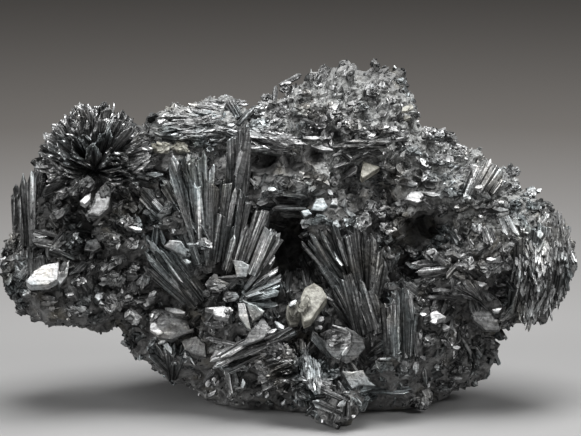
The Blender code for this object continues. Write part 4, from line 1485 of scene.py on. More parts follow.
TOP_LEDGE_DRAWN = (
    Panel(((157, 121), (163, 114), (167, 113), (165, 120), (160, 124)), 1.0, 1.0),
    Leaf(165, 127, 9, 5, 0, 0.92, 0.8), Leaf(211, 118, 45, 8, -20, 0.92, 1, Habit.LATH),
    Leaf(214, 110, 40, 10, -1, 0.72, 0.8, Habit.LATH), Leaf(226, 103, 28, 9, 0, 0.82, 0.8, Habit.LATH),
    Plank(238, 116, 228, 101, 9, 0.22, 0.6, 0.2), Leaf(195, 117, 58, 10, 2, 0.57, 0.8, Habit.LATH),
    Leaf(192, 122, 44, 8, 3, 0.62, 1, Habit.LATH), Leaf(187, 128, 46, 7, 4, 0.32, 1, Habit.LATH),
    Leaf(195, 131, 58, 7, 2, 0.37, 0.8, Habit.LATH), Leaf(218, 130, 36, 8, -6, 0.92, 1, Habit.LATH),
    Leaf(231, 126, 7, 4, 40, 1, 1.6), Leaf(179, 136, 38, 9, 2, 0.57, 0.8, Habit.LATH),
    Leaf(192, 134, 28, 8, 10, 0.72, 1, Habit.LATH), Leaf(214, 137, 30, 14, 8, 0.67, 0.8),
    Leaf(196, 142, 14, 10, 0, 0.72, 0.6), Leaf(182, 112, 16, 6, 10, 0.62, 0.4),
    Leaf(210, 148, 8, 7, 30, 0.87, 0.8), Leaf(205, 113, 12, 5, 0, 0.67, 0.8),
    Leaf(174, 133, 12, 6, 10, 0.47, 0.6), Leaf(259, 112, 20, 12, 10, 0.67, 0.4),
    Plank(240, 122, 254, 105, 5, 0.42, 0.8, 0.4), Leaf(265, 104, 14, 6, 10, 0.77, 0.4),
    Leaf(273, 137, 51, 12, -26, 0.87, 1.2, Habit.LATH), Leaf(262, 127, 28, 9, -28, 0.82, 1.0),
    Leaf(268, 148, 37, 9, -9, 1, 1.2, Habit.LATH), Leaf(267, 142, 35, 8, -12, 0.87, 1, Habit.LATH),
    Leaf(285, 137, 14, 7, -30, 0.97, 1.0), Leaf(272, 120, 16, 8, -20, 0.77, 0.6),
)

BUNDLE_DRAWN = (
    Plank(262, 333, 202, 366, 6, 0.78, 1.2, 1.0), Plank(268, 338, 203, 370, 5, 0.93, 1.4, 1.2),
    Plank(292, 333, 226, 362, 5, 1, 1.4, 1.2), Plank(288, 338, 222, 368, 4, 0.78, 1.4, 1.2),
    Plank(284, 344, 216, 374, 6, 0.93, 1.4, 1.2), Plank(270, 352, 224, 374, 5, 0.73, 1.2, 1.0),
    Plank(252, 338, 212, 358, 4, 0.88, 1.2, 1.0), Plank(276, 350, 232, 376, 5, 0.88, 1.2, 1.0),
    Plank(262, 344, 206, 364, 4, 0.58, 1.2, 1.2),
    Panel(((263, 317), (271, 329), (264, 338), (242, 346), (250, 331)), 0.5, 1.4),
    Leaf(247, 366, 9, 7, 60, 1, 2.0), Leaf(213, 380, 15, 13, 80, 0.73, 1.0),
    Plank(205, 380, 212, 369, 4, 1, 1.2, 1.0), Plank(227, 368, 232, 397, 8, 0.73, 1.2, 0.8),
    Plank(235, 372, 240, 392, 5, 0.53, 1.0, 0.8), Leaf(244, 384, 9, 4, 85, 1, 1.2),
    Plank(240, 345, 201, 337, 3, 1, 1.6, 1.4), Leaf(222, 348, 30, 8, 0, 0.43, 0.8),
    Leaf(214, 325, 24, 5, 12, 0.83, 0.8), Leaf(227, 332, 6, 4, 20, 1, 1.0),
    Panel(((181, 340), (196, 336), (205, 344), (206, 357), (196, 355), (185, 350)), 0.3, 1.2),
    Plank(288, 329, 268, 340, 3, 0.98, 1.6, 1.4), Leaf(279, 326, 12, 5, -60, 1, 1.4),
    Leaf(272, 332, 10, 4, 40, 0.88, 1.4), Leaf(222, 364, 12, 7, 20, 1, 2.0),
    Leaf(213, 394, 10, 4, 20, 0.78, 0.6),
)

LOWER_LEFT_DRAWN = (
    Panel(((152, 314), (160, 309), (172, 312), (188, 322), (190, 331), (172, 339), (160, 337), (151, 329)),
        0.4, 1.4, 1.0, 0.3),
    Panel(((151, 317), (157, 315), (157, 326), (164, 333), (158, 335), (150, 329)), 1.0, 2.0, 0.4),
    Leaf(161, 333, 8, 5, 20, 1.0, 1.8), Plank(190, 331, 160, 337, 3, 0.95, 1.6, 1.4),
    Leaf(155, 315, 14, 7, 60, 0.85, 1.4), Leaf(175, 312, 20, 6, -12, 0.6, 1.8),
    Plank(172, 376, 149, 352, 8, 0.3, 1.2, 0.6), Plank(172, 376, 153, 345, 8, 0.4, 1.3, 0.6),
    Plank(172, 376, 161, 341, 8, 0.3, 1.4, 0.6), Plank(173, 376, 169, 339, 8, 0.35, 1.4, 0.6),
    Plank(174, 376, 177, 342, 8, 0.25, 1.3, 0.6), Plank(175, 375, 184, 350, 6, 0.4, 1.1, 0.6),
    Leaf(168, 347, 18, 5, -50, 0.65, 1.2), Leaf(152, 345, 12, 7, 60, 0.6, 0.6),
    Leaf(163, 342, 10, 4, 30, 0.95, 1.2), Leaf(186, 356, 5, 4, 70, 1.0, 0.8),
    Panel(((137, 297), (150, 293), (159, 292), (154, 302), (146, 307), (140, 302)), 0.7, 1.0),
    Leaf(152, 295, 10, 6, 30, 0.95, 1.0), Leaf(136, 300, 14, 12, 70, 0.45, 0.5),
)

LOWER_CENTRE_DRAWN = (
    Leaf(302, 374, 22, 10, 50, 0.95, 1.4), Leaf(310, 368, 22, 9, -65, 1.0, 1.6),
    Leaf(317, 378, 20, 7, 8, 0.9, 1.6), Leaf(290, 385, 24, 8, 10, 0.85, 1.2),
    Leaf(286, 370, 22, 14, 0, 0.85, 1.8), Leaf(268, 366, 30, 20, 20, 0.75, 1.8),
    Leaf(280, 352, 26, 18, -30, 0.8, 2.0), Leaf(291, 362, 16, 14, 60, 0.9, 2.2),
    Leaf(272, 378, 26, 12, 10, 0.7, 1.6), Leaf(304, 358, 26, 12, -75, 0.9, 2.2, Habit.LATH),
    Leaf(312, 372, 26, 14, -65, 0.95, 2.2, Habit.LATH), Leaf(320, 384, 24, 12, -20, 0.8, 1.8, Habit.LATH),
    Leaf(272, 374, 9, 5, 20, 1.0, 1.6), Leaf(284, 350, 20, 9, -30, 0.8, 1.4),
    Leaf(294, 354, 10, 8, 70, 0.85, 1.4), Leaf(322, 366, 14, 12, 20, 0.6, 1.2),
    Leaf(301, 347, 20, 8, -70, 0.7, 1.2), Leaf(268, 352, 14, 8, 10, 0.7, 1.4),
    Leaf(332, 374, 16, 10, 10, 0.55, 1.0),
    Panel(((342, 371), (352, 372), (363, 370), (369, 381), (376, 386), (360, 385), (352, 389), (347, 380)),
        0.42, 1.6),
    Leaf(362, 393, 18, 8, 5, 0.7, 1.0), Plank(366, 390, 416, 392, 4, 1.0, 1.2, 0.8),
    Leaf(424, 398, 25, 15, 75, 0.7, 0.8), Leaf(422, 404, 4, 3, 0, 1.0, 1.6),
    Plank(330, 392, 300, 396, 4, 0.5, 1.2, 0.6), Plank(344, 400, 316, 388, 4, 0.45, 1.2, 0.6),
    Plank(338, 412, 312, 400, 7, 0.3, 1.2, 0.4), Plank(336, 424, 310, 408, 8, 0.25, 1.0, 0.2),
    Plank(342, 398, 332, 424, 8, 0.25, 1.2, 0.4), Plank(316, 404, 304, 418, 5, 0.3, 1.0, 0.2),
    Plank(332, 396, 318, 422, 8, 0.2, 1.2, 0.4), Plank(346, 402, 344, 424, 6, 0.2, 1.0, 0.3),
    Leaf(284, 403, 6, 4, 30, 1.0, 0.6), Leaf(346, 418, 5, 3, 0, 1.0, 0.8),
    Leaf(353, 417, 4, 3, 0, 1.0, 0.8), Leaf(342, 404, 9, 4, 40, 1.0, 0.8),
    Leaf(260, 394, 8, 6, 60, 1.0, 0.6), Leaf(268, 395, 7, 5, 50, 0.9, 0.6),
    Leaf(302, 386, 16, 7, 10, 0.6, 1.0), Leaf(270, 386, 16, 6, 10, 0.5, 0.8),
    Leaf(296, 400, 8, 4, -60, 0.7, 0.6),
)

ROUND_PLATE_DRAWN = (
    Panel(((345, 327), (354, 331), (363, 338), (365, 348), (358, 357), (347, 364), (340, 360), (344, 344)),
        0.2, 1.4),
    Panel(((322, 336), (328, 330), (337, 327), (345, 328), (351, 334), (351, 343), (347, 352), (339, 360),
        (332, 356), (325, 347)), 0.5, 1.9, 0.7, 0.35, 0.4),
    Plank(323, 345, 327, 331, 3, 0.9, 2.6, 2.2), Plank(324, 334, 338, 327, 3, 0.85, 2.6, 2.2),
    Plank(336, 328, 350, 333, 3, 0.7, 2.4, 2.2), Plank(351, 335, 350, 347, 3, 0.6, 2.4, 2.0),
    Plank(350, 346, 341, 359, 3, 0.5, 2.4, 2.0), Plank(328, 354, 309, 328, 6, 0.6, 1.8, 1.4),
    Plank(324, 347, 312, 331, 4, 0.5, 1.8, 1.4), Plank(330, 350, 320, 335, 3, 0.85, 2.2, 1.8),
    Leaf(335, 341, 15, 9, 40, 0.55, 2.6),
)

LOWER_RIGHT_DRAWN = (
    Panel(((430, 313), (436, 310), (446, 317), (437, 320), (431, 319)), 0.95, 1.4),
    Leaf(423, 315, 6, 4, 0, 0.92, 0.8), Leaf(434, 322, 6, 5, 50, 0.92, 1.0),
    Leaf(446, 328, 7, 6, 0, 1.0, 1.0), Leaf(465, 329, 11, 10, 30, 1.0, 1.0),
    Leaf(456, 348, 9, 4, 20, 1.0, 0.8), Plank(418, 352, 416, 328, 8, 0.72, 1.0, 0.8),
    Leaf(420, 336, 6, 3, 80, 1.0, 1.4), Plank(470, 356, 478, 368, 4, 0.92, 0.8, 0.4),
    Leaf(440, 365, 13, 8, 20, 0.62, 0.6), Leaf(455, 378, 14, 5, 0, 0.72, 0.5),
    Leaf(428, 386, 5, 4, 50, 1.0, 0.8), Leaf(492, 342, 6, 3, -45, 1.0, 0.6),
    Plank(500, 328, 507, 340, 3, 0.82, 0.6, 0.3),
    Panel(((470, 306), (478, 303), (488, 306), (497, 318), (500, 330), (486, 330), (474, 320)), 0.35, 1.0,
        0.9, 0.3),
    Leaf(497, 311, 9, 4, 10, 1.0, 1.2), Leaf(476, 315, 14, 7, 20, 0.77, 1.0),
    Leaf(499, 292, 16, 7, 10, 0.62, 0.8), Leaf(500, 283, 24, 8, 15, 0.22, 0.8),
    Plank(372, 350, 396, 333, 3, 0.92, 1.2, 0.8), Plank(378, 352, 400, 340, 3, 0.72, 1.2, 0.8),
    Leaf(388, 327, 15, 6, 12, 0.87, 1.2), Plank(374, 361, 393, 359, 3, 0.97, 1.2, 0.8),
    Leaf(384, 366, 20, 9, 10, 0.42, 0.8), Leaf(404, 372, 18, 12, -30, 0.42, 0.6),
    Leaf(430, 340, 16, 10, 50, 0.57, 0.6), Leaf(448, 340, 14, 9, -30, 0.62, 0.6),
    Plank(426, 384, 424, 366, 4, 0.72, 0.8, 0.4), Leaf(415, 368, 16, 6, 80, 0.52, 0.6),
    Leaf(398, 355, 16, 8, 0, 0.47, 0.8),
)

SIDERITE_DRAWN = (
    Panel(((301, 297), (305, 288), (314, 283), (322, 288), (327, 297), (320, 306), (311, 319), (304, 322),
        (300, 310)), 0.6, 1.8, 1.2, 0.15),
    Panel(((313, 284), (322, 288), (326, 297), (318, 300), (309, 292)), 0.75, 2.3, 0.5, 0.1),
    Panel(((287, 306), (293, 300), (299, 303), (301, 315), (298, 324), (290, 325), (286, 316)), 0.15, 1.8,
        1.2, 0.2),
    Leaf(306, 305, 18, 10, 70, 0.5, 2.4), Leaf(293, 312, 16, 9, 80, 0.1, 2.4),
)

LOOSE_DRAWN = (
    Leaf(131, 270, 20, 15, 25, 0.5, 0.9, crust=2.5), Leaf(125, 299, 22, 14, -15, 0.35, 0.7, crust=2.5),
    Leaf(112, 307, 24, 13, 60, 0.3, 0.7, crust=2.5), Leaf(146, 277, 28, 11, 80, 0.35, 0.9, crust=2.0),
    Leaf(131, 316, 22, 13, -30, 0.35, 0.6, crust=2.0), Leaf(107, 279, 20, 15, 10, 0.3, 0.8, crust=2.0),
    Leaf(139, 334, 20, 14, 50, 0.3, 0.5, crust=2.0), Leaf(73, 306, 20, 13, -10, 0.35, 0.5, crust=2.0),
    Leaf(97, 317, 20, 12, 20, 0.35, 0.5, crust=2.0), Leaf(120, 281, 14, 10, 70, 0.4, 1.0, crust=2.0),
    Panel(((86, 241), (99, 238), (101, 247), (94, 251), (84, 250)), 0.5, 0.9),
    Leaf(90, 235, 28, 8, 5, 0.35), Leaf(92, 255, 12, 4, 80, 0.7, 0.6),
    Panel(((94, 297), (98, 291), (104, 292), (104, 297), (98, 301)), 0.95, 1.0),
    Leaf(112, 300, 22, 12, -60, 0.4, 0.5), Leaf(108, 306, 16, 9, -40, 0.55, 0.6),
    Leaf(125, 274, 9, 7, 60, 0.8, 0.8), Leaf(134, 266, 11, 9, 30, 0.7, 0.6),
    Leaf(141, 280, 18, 8, 80, 0.5, 0.5), Leaf(122, 296, 20, 10, -10, 0.45, 0.6),
    Leaf(133, 244, 11, 10, 0, 0.7, 0.6), Leaf(118, 246, 9, 5, 80, 0.6, 0.5),
    Leaf(128, 314, 11, 5, 80, 0.65, 0.5), Leaf(130, 222, 28, 12, -25, 0.65, 1.0),
    Leaf(134, 229, 15, 4, -22, 0.83, 1.6), Plank(156, 230, 154, 247, 4, 0.6, 1.0, 0.6),
    Plank(162, 234, 166, 246, 4, 0.6, 1.0, 0.6), Plank(142, 198, 141, 212, 4, 1.0, 1.2, 1.0),
    Leaf(150, 214, 16, 9, -20, 0.5, 1.0), Leaf(110, 238, 20, 10, 0, 0.25), Leaf(105, 268, 18, 12, 40, 0.2),
    Leaf(120, 258, 14, 9, 0, 0.15), Leaf(88, 268, 12, 9, 80, 0.35), Leaf(72, 216, 16, 8, 20, 0.3),
    Leaf(60, 214, 18, 9, 30, 0.35), Leaf(55, 205, 16, 8, 60, 0.2), Leaf(130, 190, 20, 9, 0, 0.2),
    Leaf(128, 205, 18, 10, -20, 0.15), Leaf(155, 175, 16, 6, 5, 0.35, 0.6), Leaf(140, 165, 22, 8, 0, 0.2),
    Leaf(120, 285, 16, 9, 20, 0.25), Leaf(80, 312, 18, 7, 0, 0.35), Leaf(268, 98, 13, 7, -20, 0.78, 0.6),
    Leaf(284, 88, 9, 7, 60, 0.78, 0.6), Leaf(281, 80, 9, 5, 0, 0.6), Plank(283, 84, 303, 74, 4, 0.8, 0.4),
    Plank(275, 102, 275, 83, 4, 0.15, 0.2), Leaf(305, 92, 12, 7, 20, 0.7), Leaf(372, 89, 17, 14, 80, 0.7),
    Leaf(383, 86, 18, 11, 85, 0.75), Leaf(391, 100, 10, 7, 0, 0.7), Leaf(400, 84, 10, 8, 30, 0.5),
    Leaf(280, 112, 28, 15, 15, 0.75, 0.5), Leaf(304, 109, 24, 13, 20, 0.7, 0.5),
    Leaf(318, 118, 28, 16, 40, 0.7, 0.6), Leaf(335, 112, 20, 12, 50, 0.75, 0.5),
    Plank(338, 114, 353, 107, 4, 0.95, 0.8), Leaf(276, 126, 18, 10, 0, 0.55, 0.4),
    Leaf(309, 132, 18, 11, 50, 0.65, 0.6), Leaf(311, 139, 16, 4, -5, 0.78, 0.9),
    Leaf(325, 138, 18, 13, 70, 0.5, 0.8), Plank(330, 130, 333, 151, 3, 0.9, 1.0),
    Leaf(322, 149, 22, 5, -10, 0.68, 0.9), Leaf(350, 125, 24, 13, 20, 0.55, 0.5),
    Leaf(352, 104, 10, 6, 0, 0.68, 0.4), Leaf(362, 135, 32, 9, 8, 0.4, 0.6),
    Leaf(372, 142, 54, 9, 9, 0.3, 0.9, Habit.LATH), Leaf(373, 151, 47, 11, 12, 0.12, 0.8, Habit.LATH),
    Leaf(357, 146, 32, 8, 22, 0.25, 0.9, Habit.LATH), Plank(345, 153, 356, 160, 6, 1.0, 1.2, 0.8),
    Plank(337, 166, 354, 159, 3, 0.6, 1.0, 0.6), Plank(344, 176, 364, 162, 5, 0.35, 1.0, 0.6),
    Leaf(352, 172, 18, 8, 30, 0.3, 0.6), Leaf(372, 136, 7, 4, 0, 0.78, 1.2),
    Leaf(350, 190, 20, 10, 0, 0.2, 0.4), Leaf(385, 128, 22, 8, 0, 0.6, 0.4),
    Leaf(360, 108, 16, 8, 10, 0.65, 0.4), Leaf(386, 193, 11, 9, 80, 0.65, 0.6),
    Leaf(382, 216, 7, 7, 0, 0.83, 1.2), Leaf(379, 207, 16, 12, 0, 0.65, 0.6),
    Leaf(392, 211, 14, 9, 0, 0.55, 0.6), Leaf(388, 228, 16, 10, 0, 0.55, 0.6),
    Leaf(380, 238, 10, 10, 60, 0.6, 0.6), Leaf(401, 205, 18, 13, 60, 0.45, 0.6),
    Leaf(398, 222, 14, 10, 60, 0.35, 0.5), Leaf(388, 240, 12, 8, 0, 0.45, 0.5),
    Plank(388, 268, 378, 255, 3, 0.85, 1.2, 0.8), Plank(389, 268, 383, 248, 3, 0.6, 1.4, 0.8),
    Plank(390, 268, 389, 244, 3, 0.9, 1.4, 0.8), Plank(391, 268, 395, 245, 3, 0.75, 1.4, 0.8),
    Plank(392, 268, 401, 250, 3, 0.85, 1.2, 0.8), Leaf(410, 250, 20, 8, -40, 0.4, 0.8),
    Leaf(416, 258, 14, 6, 20, 0.5, 0.8), Leaf(432, 134, 22, 11, 0, 0.73, 0.4),
    Leaf(414, 151, 16, 7, -25, 0.68, 0.5), Leaf(400, 146, 18, 12, 0, 0.65, 0.4),
    Leaf(424, 164, 13, 6, -60, 0.83, 0.6), Leaf(408, 168, 18, 7, 0, 0.3, 0.4),
    Leaf(441, 160, 28, 9, 8, 0.6, 0.4), Leaf(452, 146, 26, 9, -12, 0.5, 0.4),
    Leaf(465, 151, 12, 9, -50, 0.6, 0.3), Leaf(430, 177, 20, 10, 20, 0.68, 0.6),
    Leaf(446, 178, 14, 9, 0, 0.7, 0.5), Leaf(402, 173, 4, 4, 0, 0.83, 0.8),
    Leaf(404, 183, 26, 6, -12, 0.3, 0.6), Leaf(386, 166, 20, 7, -18, 0.5, 0.6),
    Panel(((405, 199), (410, 192), (421, 191), (427, 199), (417, 203)), 0.7, 0.7),
    Plank(424, 200, 436, 209, 4, 0.95, 1.0, 0.6), Leaf(432, 195, 16, 5, -5, 0.65, 0.6),
    Leaf(450, 193, 24, 9, 0, 0.4, 0.4), Leaf(462, 206, 16, 9, 30, 0.45, 0.4),
    Leaf(455, 216, 6, 3, 0, 0.83, 0.8), Leaf(450, 226, 18, 10, 20, 0.3, 0.4),
    Leaf(466, 226, 18, 14, 60, 0.4, 0.6), Plank(438, 230, 449, 241, 3, 0.8, 0.8, 0.4),
    Leaf(462, 242, 20, 10, 10, 0.25, 0.4), Leaf(428, 186, 14, 5, -10, 0.3, 0.4),
    Leaf(440, 208, 16, 9, -30, 0.5, 0.5), Leaf(400, 135, 18, 8, 10, 0.7, 0.4),
    Leaf(447, 133, 18, 7, -20, 0.7, 0.3), Leaf(320, 320, 8, 6, 0, 0.83, 1.0),
    Leaf(316, 327, 5, 5, 0, 0.73, 0.8), Leaf(320, 328, 5, 4, 60, 0.78, 0.8),
    Plank(322, 297, 334, 304, 3, 1.0, 1.0, 0.8), Leaf(293, 304, 9, 5, 60, 0.83, 2.4),
    Leaf(497, 333, 20, 9, -30, 0.25, 0.4), Leaf(532, 312, 16, 7, 20, 0.3, 0.3),
    Leaf(520, 316, 20, 9, 15, 0.25, 0.3), Leaf(475, 340, 22, 10, 20, 0.25, 0.3),
    Leaf(462, 368, 18, 10, 20, 0.25, 0.3), Leaf(445, 388, 16, 8, 10, 0.25, 0.3),
    Leaf(130, 345, 16, 8, -40, 0.25, 0.3), Leaf(160, 366, 16, 6, -20, 0.3, 0.4),
    Leaf(240, 300, 10, 12, 30, 0.2, 0.6),
)

CREAM_DRAWN = (
    Leaf(161, 147, 18, 9, 12, 0.95, 0.9), Leaf(180, 148, 18, 8, -18, 0.95, 0.9),
    Panel(((363, 161), (380, 167), (363, 178), (361, 175)), 1.0, 2.4, 0.8),
    Leaf(410, 108, 7, 6, 60, 0.8, 0.5), Leaf(405, 110, 9, 6, 30, 0.85, 0.6),
    Leaf(407, 118, 7, 5, 0, 0.8, 0.6),
)

GROUPS = (
    CrystalGroup("siderite_crystal", 71, drawn=SIDERITE_DRAWN),
    CrystalGroup("blade_bundle", 43, drawn=BUNDLE_DRAWN),
    CrystalGroup("round_plate", 47, drawn=ROUND_PLATE_DRAWN),
    CrystalGroup("left_plates", 53, drawn=LEFT_PLATES_DRAWN),
    CrystalGroup("lower_left_plates", 59, drawn=LOWER_LEFT_DRAWN),
    CrystalGroup("right_end_sheaf", 29, drawn=RIGHT_END_DRAWN),
    CrystalGroup("top_ledge", 41, drawn=TOP_LEDGE_DRAWN),
    CrystalGroup("left_edge_fan", 5, drawn=LEFT_EDGE_DRAWN),
    CrystalGroup("centre_shelf", 37, drawn=CENTRE_SHELF_DRAWN),
    CrystalGroup("right_fan", 23, drawn=RIGHT_FAN_DRAWN),
    CrystalGroup("right_rosette", 31, drawn=RIGHT_ROSETTE_DRAWN),
    CrystalGroup("lower_right_group", 67, drawn=LOWER_RIGHT_DRAWN),
    CrystalGroup("lower_rosette", 61, (
        Fan((0.8, -6.2, 5.2), (-1.8, -9.0, 6.6), (0.7, -0.5, 0.5), 110, 9, 2.4, 0.5, (-30, 12),
            tone_and_painted_light=(0.0, 0.3)),
        Fan((1.4, -6.6, 4.4), (2.0, -9.4, 2.4), (0.9, 0.2, 0.2), 60, 8, 2.4, 0.5, tone_and_painted_light=(0.0, 0.3)),
    ), LOWER_CENTRE_DRAWN),
    CrystalGroup("central_fan", 17, drawn=CENTRAL_FAN_DRAWN),
    CrystalGroup("great_rosette", 11, drawn=GREAT_ROSETTE_DRAWN),
    CrystalGroup("left_rosette", 3, (
        Fan((-18.7, -2.2, 24.4), (-18.5, -2.6, 31.8), TOWARDS_VIEWER, 244, 24, 2.7, 0.6, (-8, 6, 20),
            Habit.BLADE, uneven=0.12, roll=34, tone_and_painted_light=(0.3, 0.85)),
        Fan((-18.7, -3.0, 24.4), (-18.5, -3.4, 30.4), TOWARDS_VIEWER, 250, 18, 2.1, 0.5, (34, 50),
            Habit.BLADE, uneven=0.2, roll=34, tone_and_painted_light=(0.05, 0.4)),
        Fan((-18.7, -2.6, 24.4), (-18.3, -3.2, 31.7), (0, -1, 0), 96, 20, 1.9, 0.5, (0, 8),
            Habit.BLADE, 0.08, 34, tone_and_painted_light=(0.6, 0.95), start=0.45),
    ), LEFT_ROSETTE_DRAWN),
)


@dataclass
class Overgrowth:
    """Slabs, small fans and grains that cover the rock between the named groups, paler in some places."""

    seed: int = 19
    slabs: int = 9000
    clusters: int = 260
    grains: int = 9000
    sheaf: float = 4.6
    patch: float = 2.4
    lowest: float = 0.8
    fine_light: float = 0.5
    fine_scale: float = 0.38
    upward_scale: float = 0.7
    front_scale: float = 1.35
    crown_top: float = 32.0
    buried: float = 1.2
    cluster_heights: tuple[float, float] = (2.5, 31.0)
    cluster_light: float = 0.45
    painted_light_low_zone: tuple[float, float] = (12.0, 4.0)
    painted_shade_top_zone: tuple[float, float] = (31.5, 33.5)
    painted_shade_left_zone: tuple[float, float] = (-18.0, -22.0)
    painted_shade_left_heights: tuple[float, float] = (12.0, 16.0)
    back: float = 3.0
    pale: tuple[tuple[Triple, float, float], ...] = (
        ((5.0, -3.0, 28.5), 9.5, 0.7), ((13.5, -2.0, 27.0), 7.5, 0.8), ((19.5, -2.0, 23.5), 8.0, 0.7),
        ((25.0, -2.0, 17.0), 8.0, 0.3), ((-8.0, -1.0, 29.5), 7.0, 0.7), ((6.0, -4.0, 21.0), 4.5, 0.3),
        ((13.5, -2.0, 31.0), 4.5, 0.8), ((13.0, -4.0, 22.0), 4.0, 0.3),
    )
    middle: Triple = (0.0, 3.0, 16.0)
    radii: Triple = (28.0, 12.0, 17.0)
    # Cavities of the show face: the rock sinks there, nothing grows there, and light() paints shade there.
    vugs: tuple[Triple, ...] = (
        (-0.2, 17.0, 3.2), (12.9, 18.5, 1.8), (-2.2, 25.2, 1.9), (0.6, 25.0, 1.5), (2.6, 25.6, 1.2),
        (-0.6, 33.2, 0.8), (1.1, 33.6, 0.8), (4.9, 28.7, 0.5), (4.8, 27.5, 0.6), (4.9, 26.3, 0.7),
        (7.4, 26.0, 1.2), (10.2, 24.0, 0.6), (11.4, 23.2, 0.7), (12.8, 22.8, 0.5), (14.1, 22.6, 0.5),
        (9.3, 29.3, 0.5), (6.6, 31.2, 0.5), (18.5, 20.6, 0.5),
    )
    bare: tuple[tuple[Triple, float], ...] = (
        ((24.5, -2.0, 8.5), 4.0), ((-24.0, -3.0, 9.5), 5.5), ((-16.0, -2.0, 7.5), 5.0),
    )

    def light(self, point: Vector) -> float:
        """How bright the crystals are at a point.

        It is pale on the crown, the right shoulder and the right end. Low down it has painted light, and
        at the very top, at the left end and in the cavities it has painted shade.

        Args:
            point: a point of the rock.

        Returns:
            The brightness, from 0 to 1.
        """
        pale = 0.0
        for middle, radius, share in self.pale:
            away = (point - Vector(middle)) * Vector((1.0, 0.55, 1.0))
            pale = max(pale, share * min(1.0, 1.7 * (1 - away.length / radius)))
        # Painted light low down, and painted shade at the very top and at the left end.
        low = ramped(point.z, *self.painted_light_low_zone)
        top = ramped(point.z, *self.painted_shade_top_zone)
        left = ramped(point.x, *self.painted_shade_left_zone) * ramped(point.z, *self.painted_shade_left_heights)
        pale_and_painted_light = min(1.0, 0.3 + max(0.0, pale) * (1 - 0.4 * top) + 0.2 * low - 0.15 * left)
        # Painted shade in the cavities.
        return pale_and_painted_light * (1 - 0.9 * self.hollow(point))

    def hollow(self, point: Vector) -> float:
        """How deep a point lies in a cavity of the show face.

        Args:
            point: a point of the rock.

        Returns:
            From 0 outside to 1 in the middle.
        """
        if point.y > self.back:
            return 0.0
        return max(
            max(0.0, 1 - (math.hypot(point.x - x, point.z - z) / radius) ** 2) for x, z, radius in self.vugs
        )

    def in_vug(self, point: Vector) -> bool:
        """Whether a point lies in a cavity, which stays empty and gets painted shade through light()."""
        return self.hollow(point) > 0.08

    def sheaf_at(self, point: Vector) -> tuple[Vector, Vector, float]:
        """The direction and the flat side of a crystal at a point, grown from a root that its sheaf shares.

        Args:
            point: a point of the rock.

        Returns:
            The direction, the flat side's normal, and how bright the sheaf is, about zero.
        """
        size = self.sheaf * (0.7 if self.light(point) > self.fine_light else 1.0)
        spot = noise.voronoi(point / size)[1][0] * size
        outward = Vector((k / r**2 for k, r in zip(point - Vector(self.middle), self.radii))).normalized()
        half = Vector((0.5, 0.5, 0.5))
        lean = (noise.cell_vector(spot * 3.7) - half) * size * 1.3
        root = spot + lean - outward * ((spot + lean - point).dot(outward) + 0.55 * size)
        aim = (point - root).normalized()
        spine = noise.cell_vector(spot * 5.9) - half
        return aim, (spine - spine.project(aim)).normalized(), noise.cell(spot * 8.3) - 0.5

    def is_bare(self, point: Vector) -> bool:
        """Whether a point lies where the rock has no slabs."""
        return any((point - Vector(middle)).length < radius for middle, radius in self.bare)

    def slab_scale(self, point: Vector, normal: Vector, fine: bool) -> float:
        """How large the slabs are at a point.

        Args:
            point: a point of the rock.
            normal: the way that the rock faces there.
            fine: whether the crystals are fine there.

        Returns:
            The scale.
        """
        if fine or point.z > self.crown_top:
            return self.fine_scale
        if normal.z > 0.5:
            return self.upward_scale
        return self.front_scale if normal.y < -0.25 and normal.z > -0.1 else 1.0

    def slabs_on(self, skin: Skin, forms: dict[Habit, list[Template]]) -> bpy.types.Object:
        """Sheaves and rosettes of short blades that crowd the rock and share their roots.

        Args:
            skin: the rock's surface.
            forms: the crystal forms.

        Returns:
            The new piece.
        """
        rng = random.Random(self.seed + 7)
        pile = Pile("slabs", forms, rng)
        for point, normal in skin.scattered(self.slabs, rng):
            if self.in_vug(point) or point.z < self.lowest or self.is_bare(point):
                continue
            if (normal.y > 0.3 and rng.random() < 0.4) or normal.z < -0.35:
                continue
            light = self.light(point)
            fine = light > self.fine_light
            if fine and noise.noise(point / self.patch) > 0.08 and rng.random() < 0.8:
                continue
            scale = self.slab_scale(point, normal, fine)
            for _ in range(3 if fine and normal.y < 0.5 else 1):
                spot = point
                if fine:
                    spot = skin.tree.find_nearest(point + 0.35 * stray(rng))[0]
                aim, flat, shade = self.sheaf_at(spot)
                aim = (aim + 0.16 * stray(rng)).normalized()
                flat = (flat + 0.3 * stray(rng)).normalized()
                stands = scale * rng.choice((0.1, 0.25, 0.4, 0.7)) * rng.uniform(0.6, 1.2)
                width = scale * rng.uniform(0.4, 1.0) * rng.choice((0.8, 1.0, 1.6))
                size = (self.buried * scale + stands, width, scale * rng.uniform(0.16, 0.4))
                tone_and_painted_light = clamped(light + 0.45 * shade + rng.gauss(-0.04, 0.14))
                habit = rng.choice((Habit.SLIP, Habit.FLAKE, Habit.FLAKE))
                place = placement(spot - aim * self.buried * scale, aim, aim.cross(flat))
                pile.add(habit, place, size, tone_and_painted_light, rng.gauss(0, 0.04), lined=0.7)
        return pile.mesh_object()

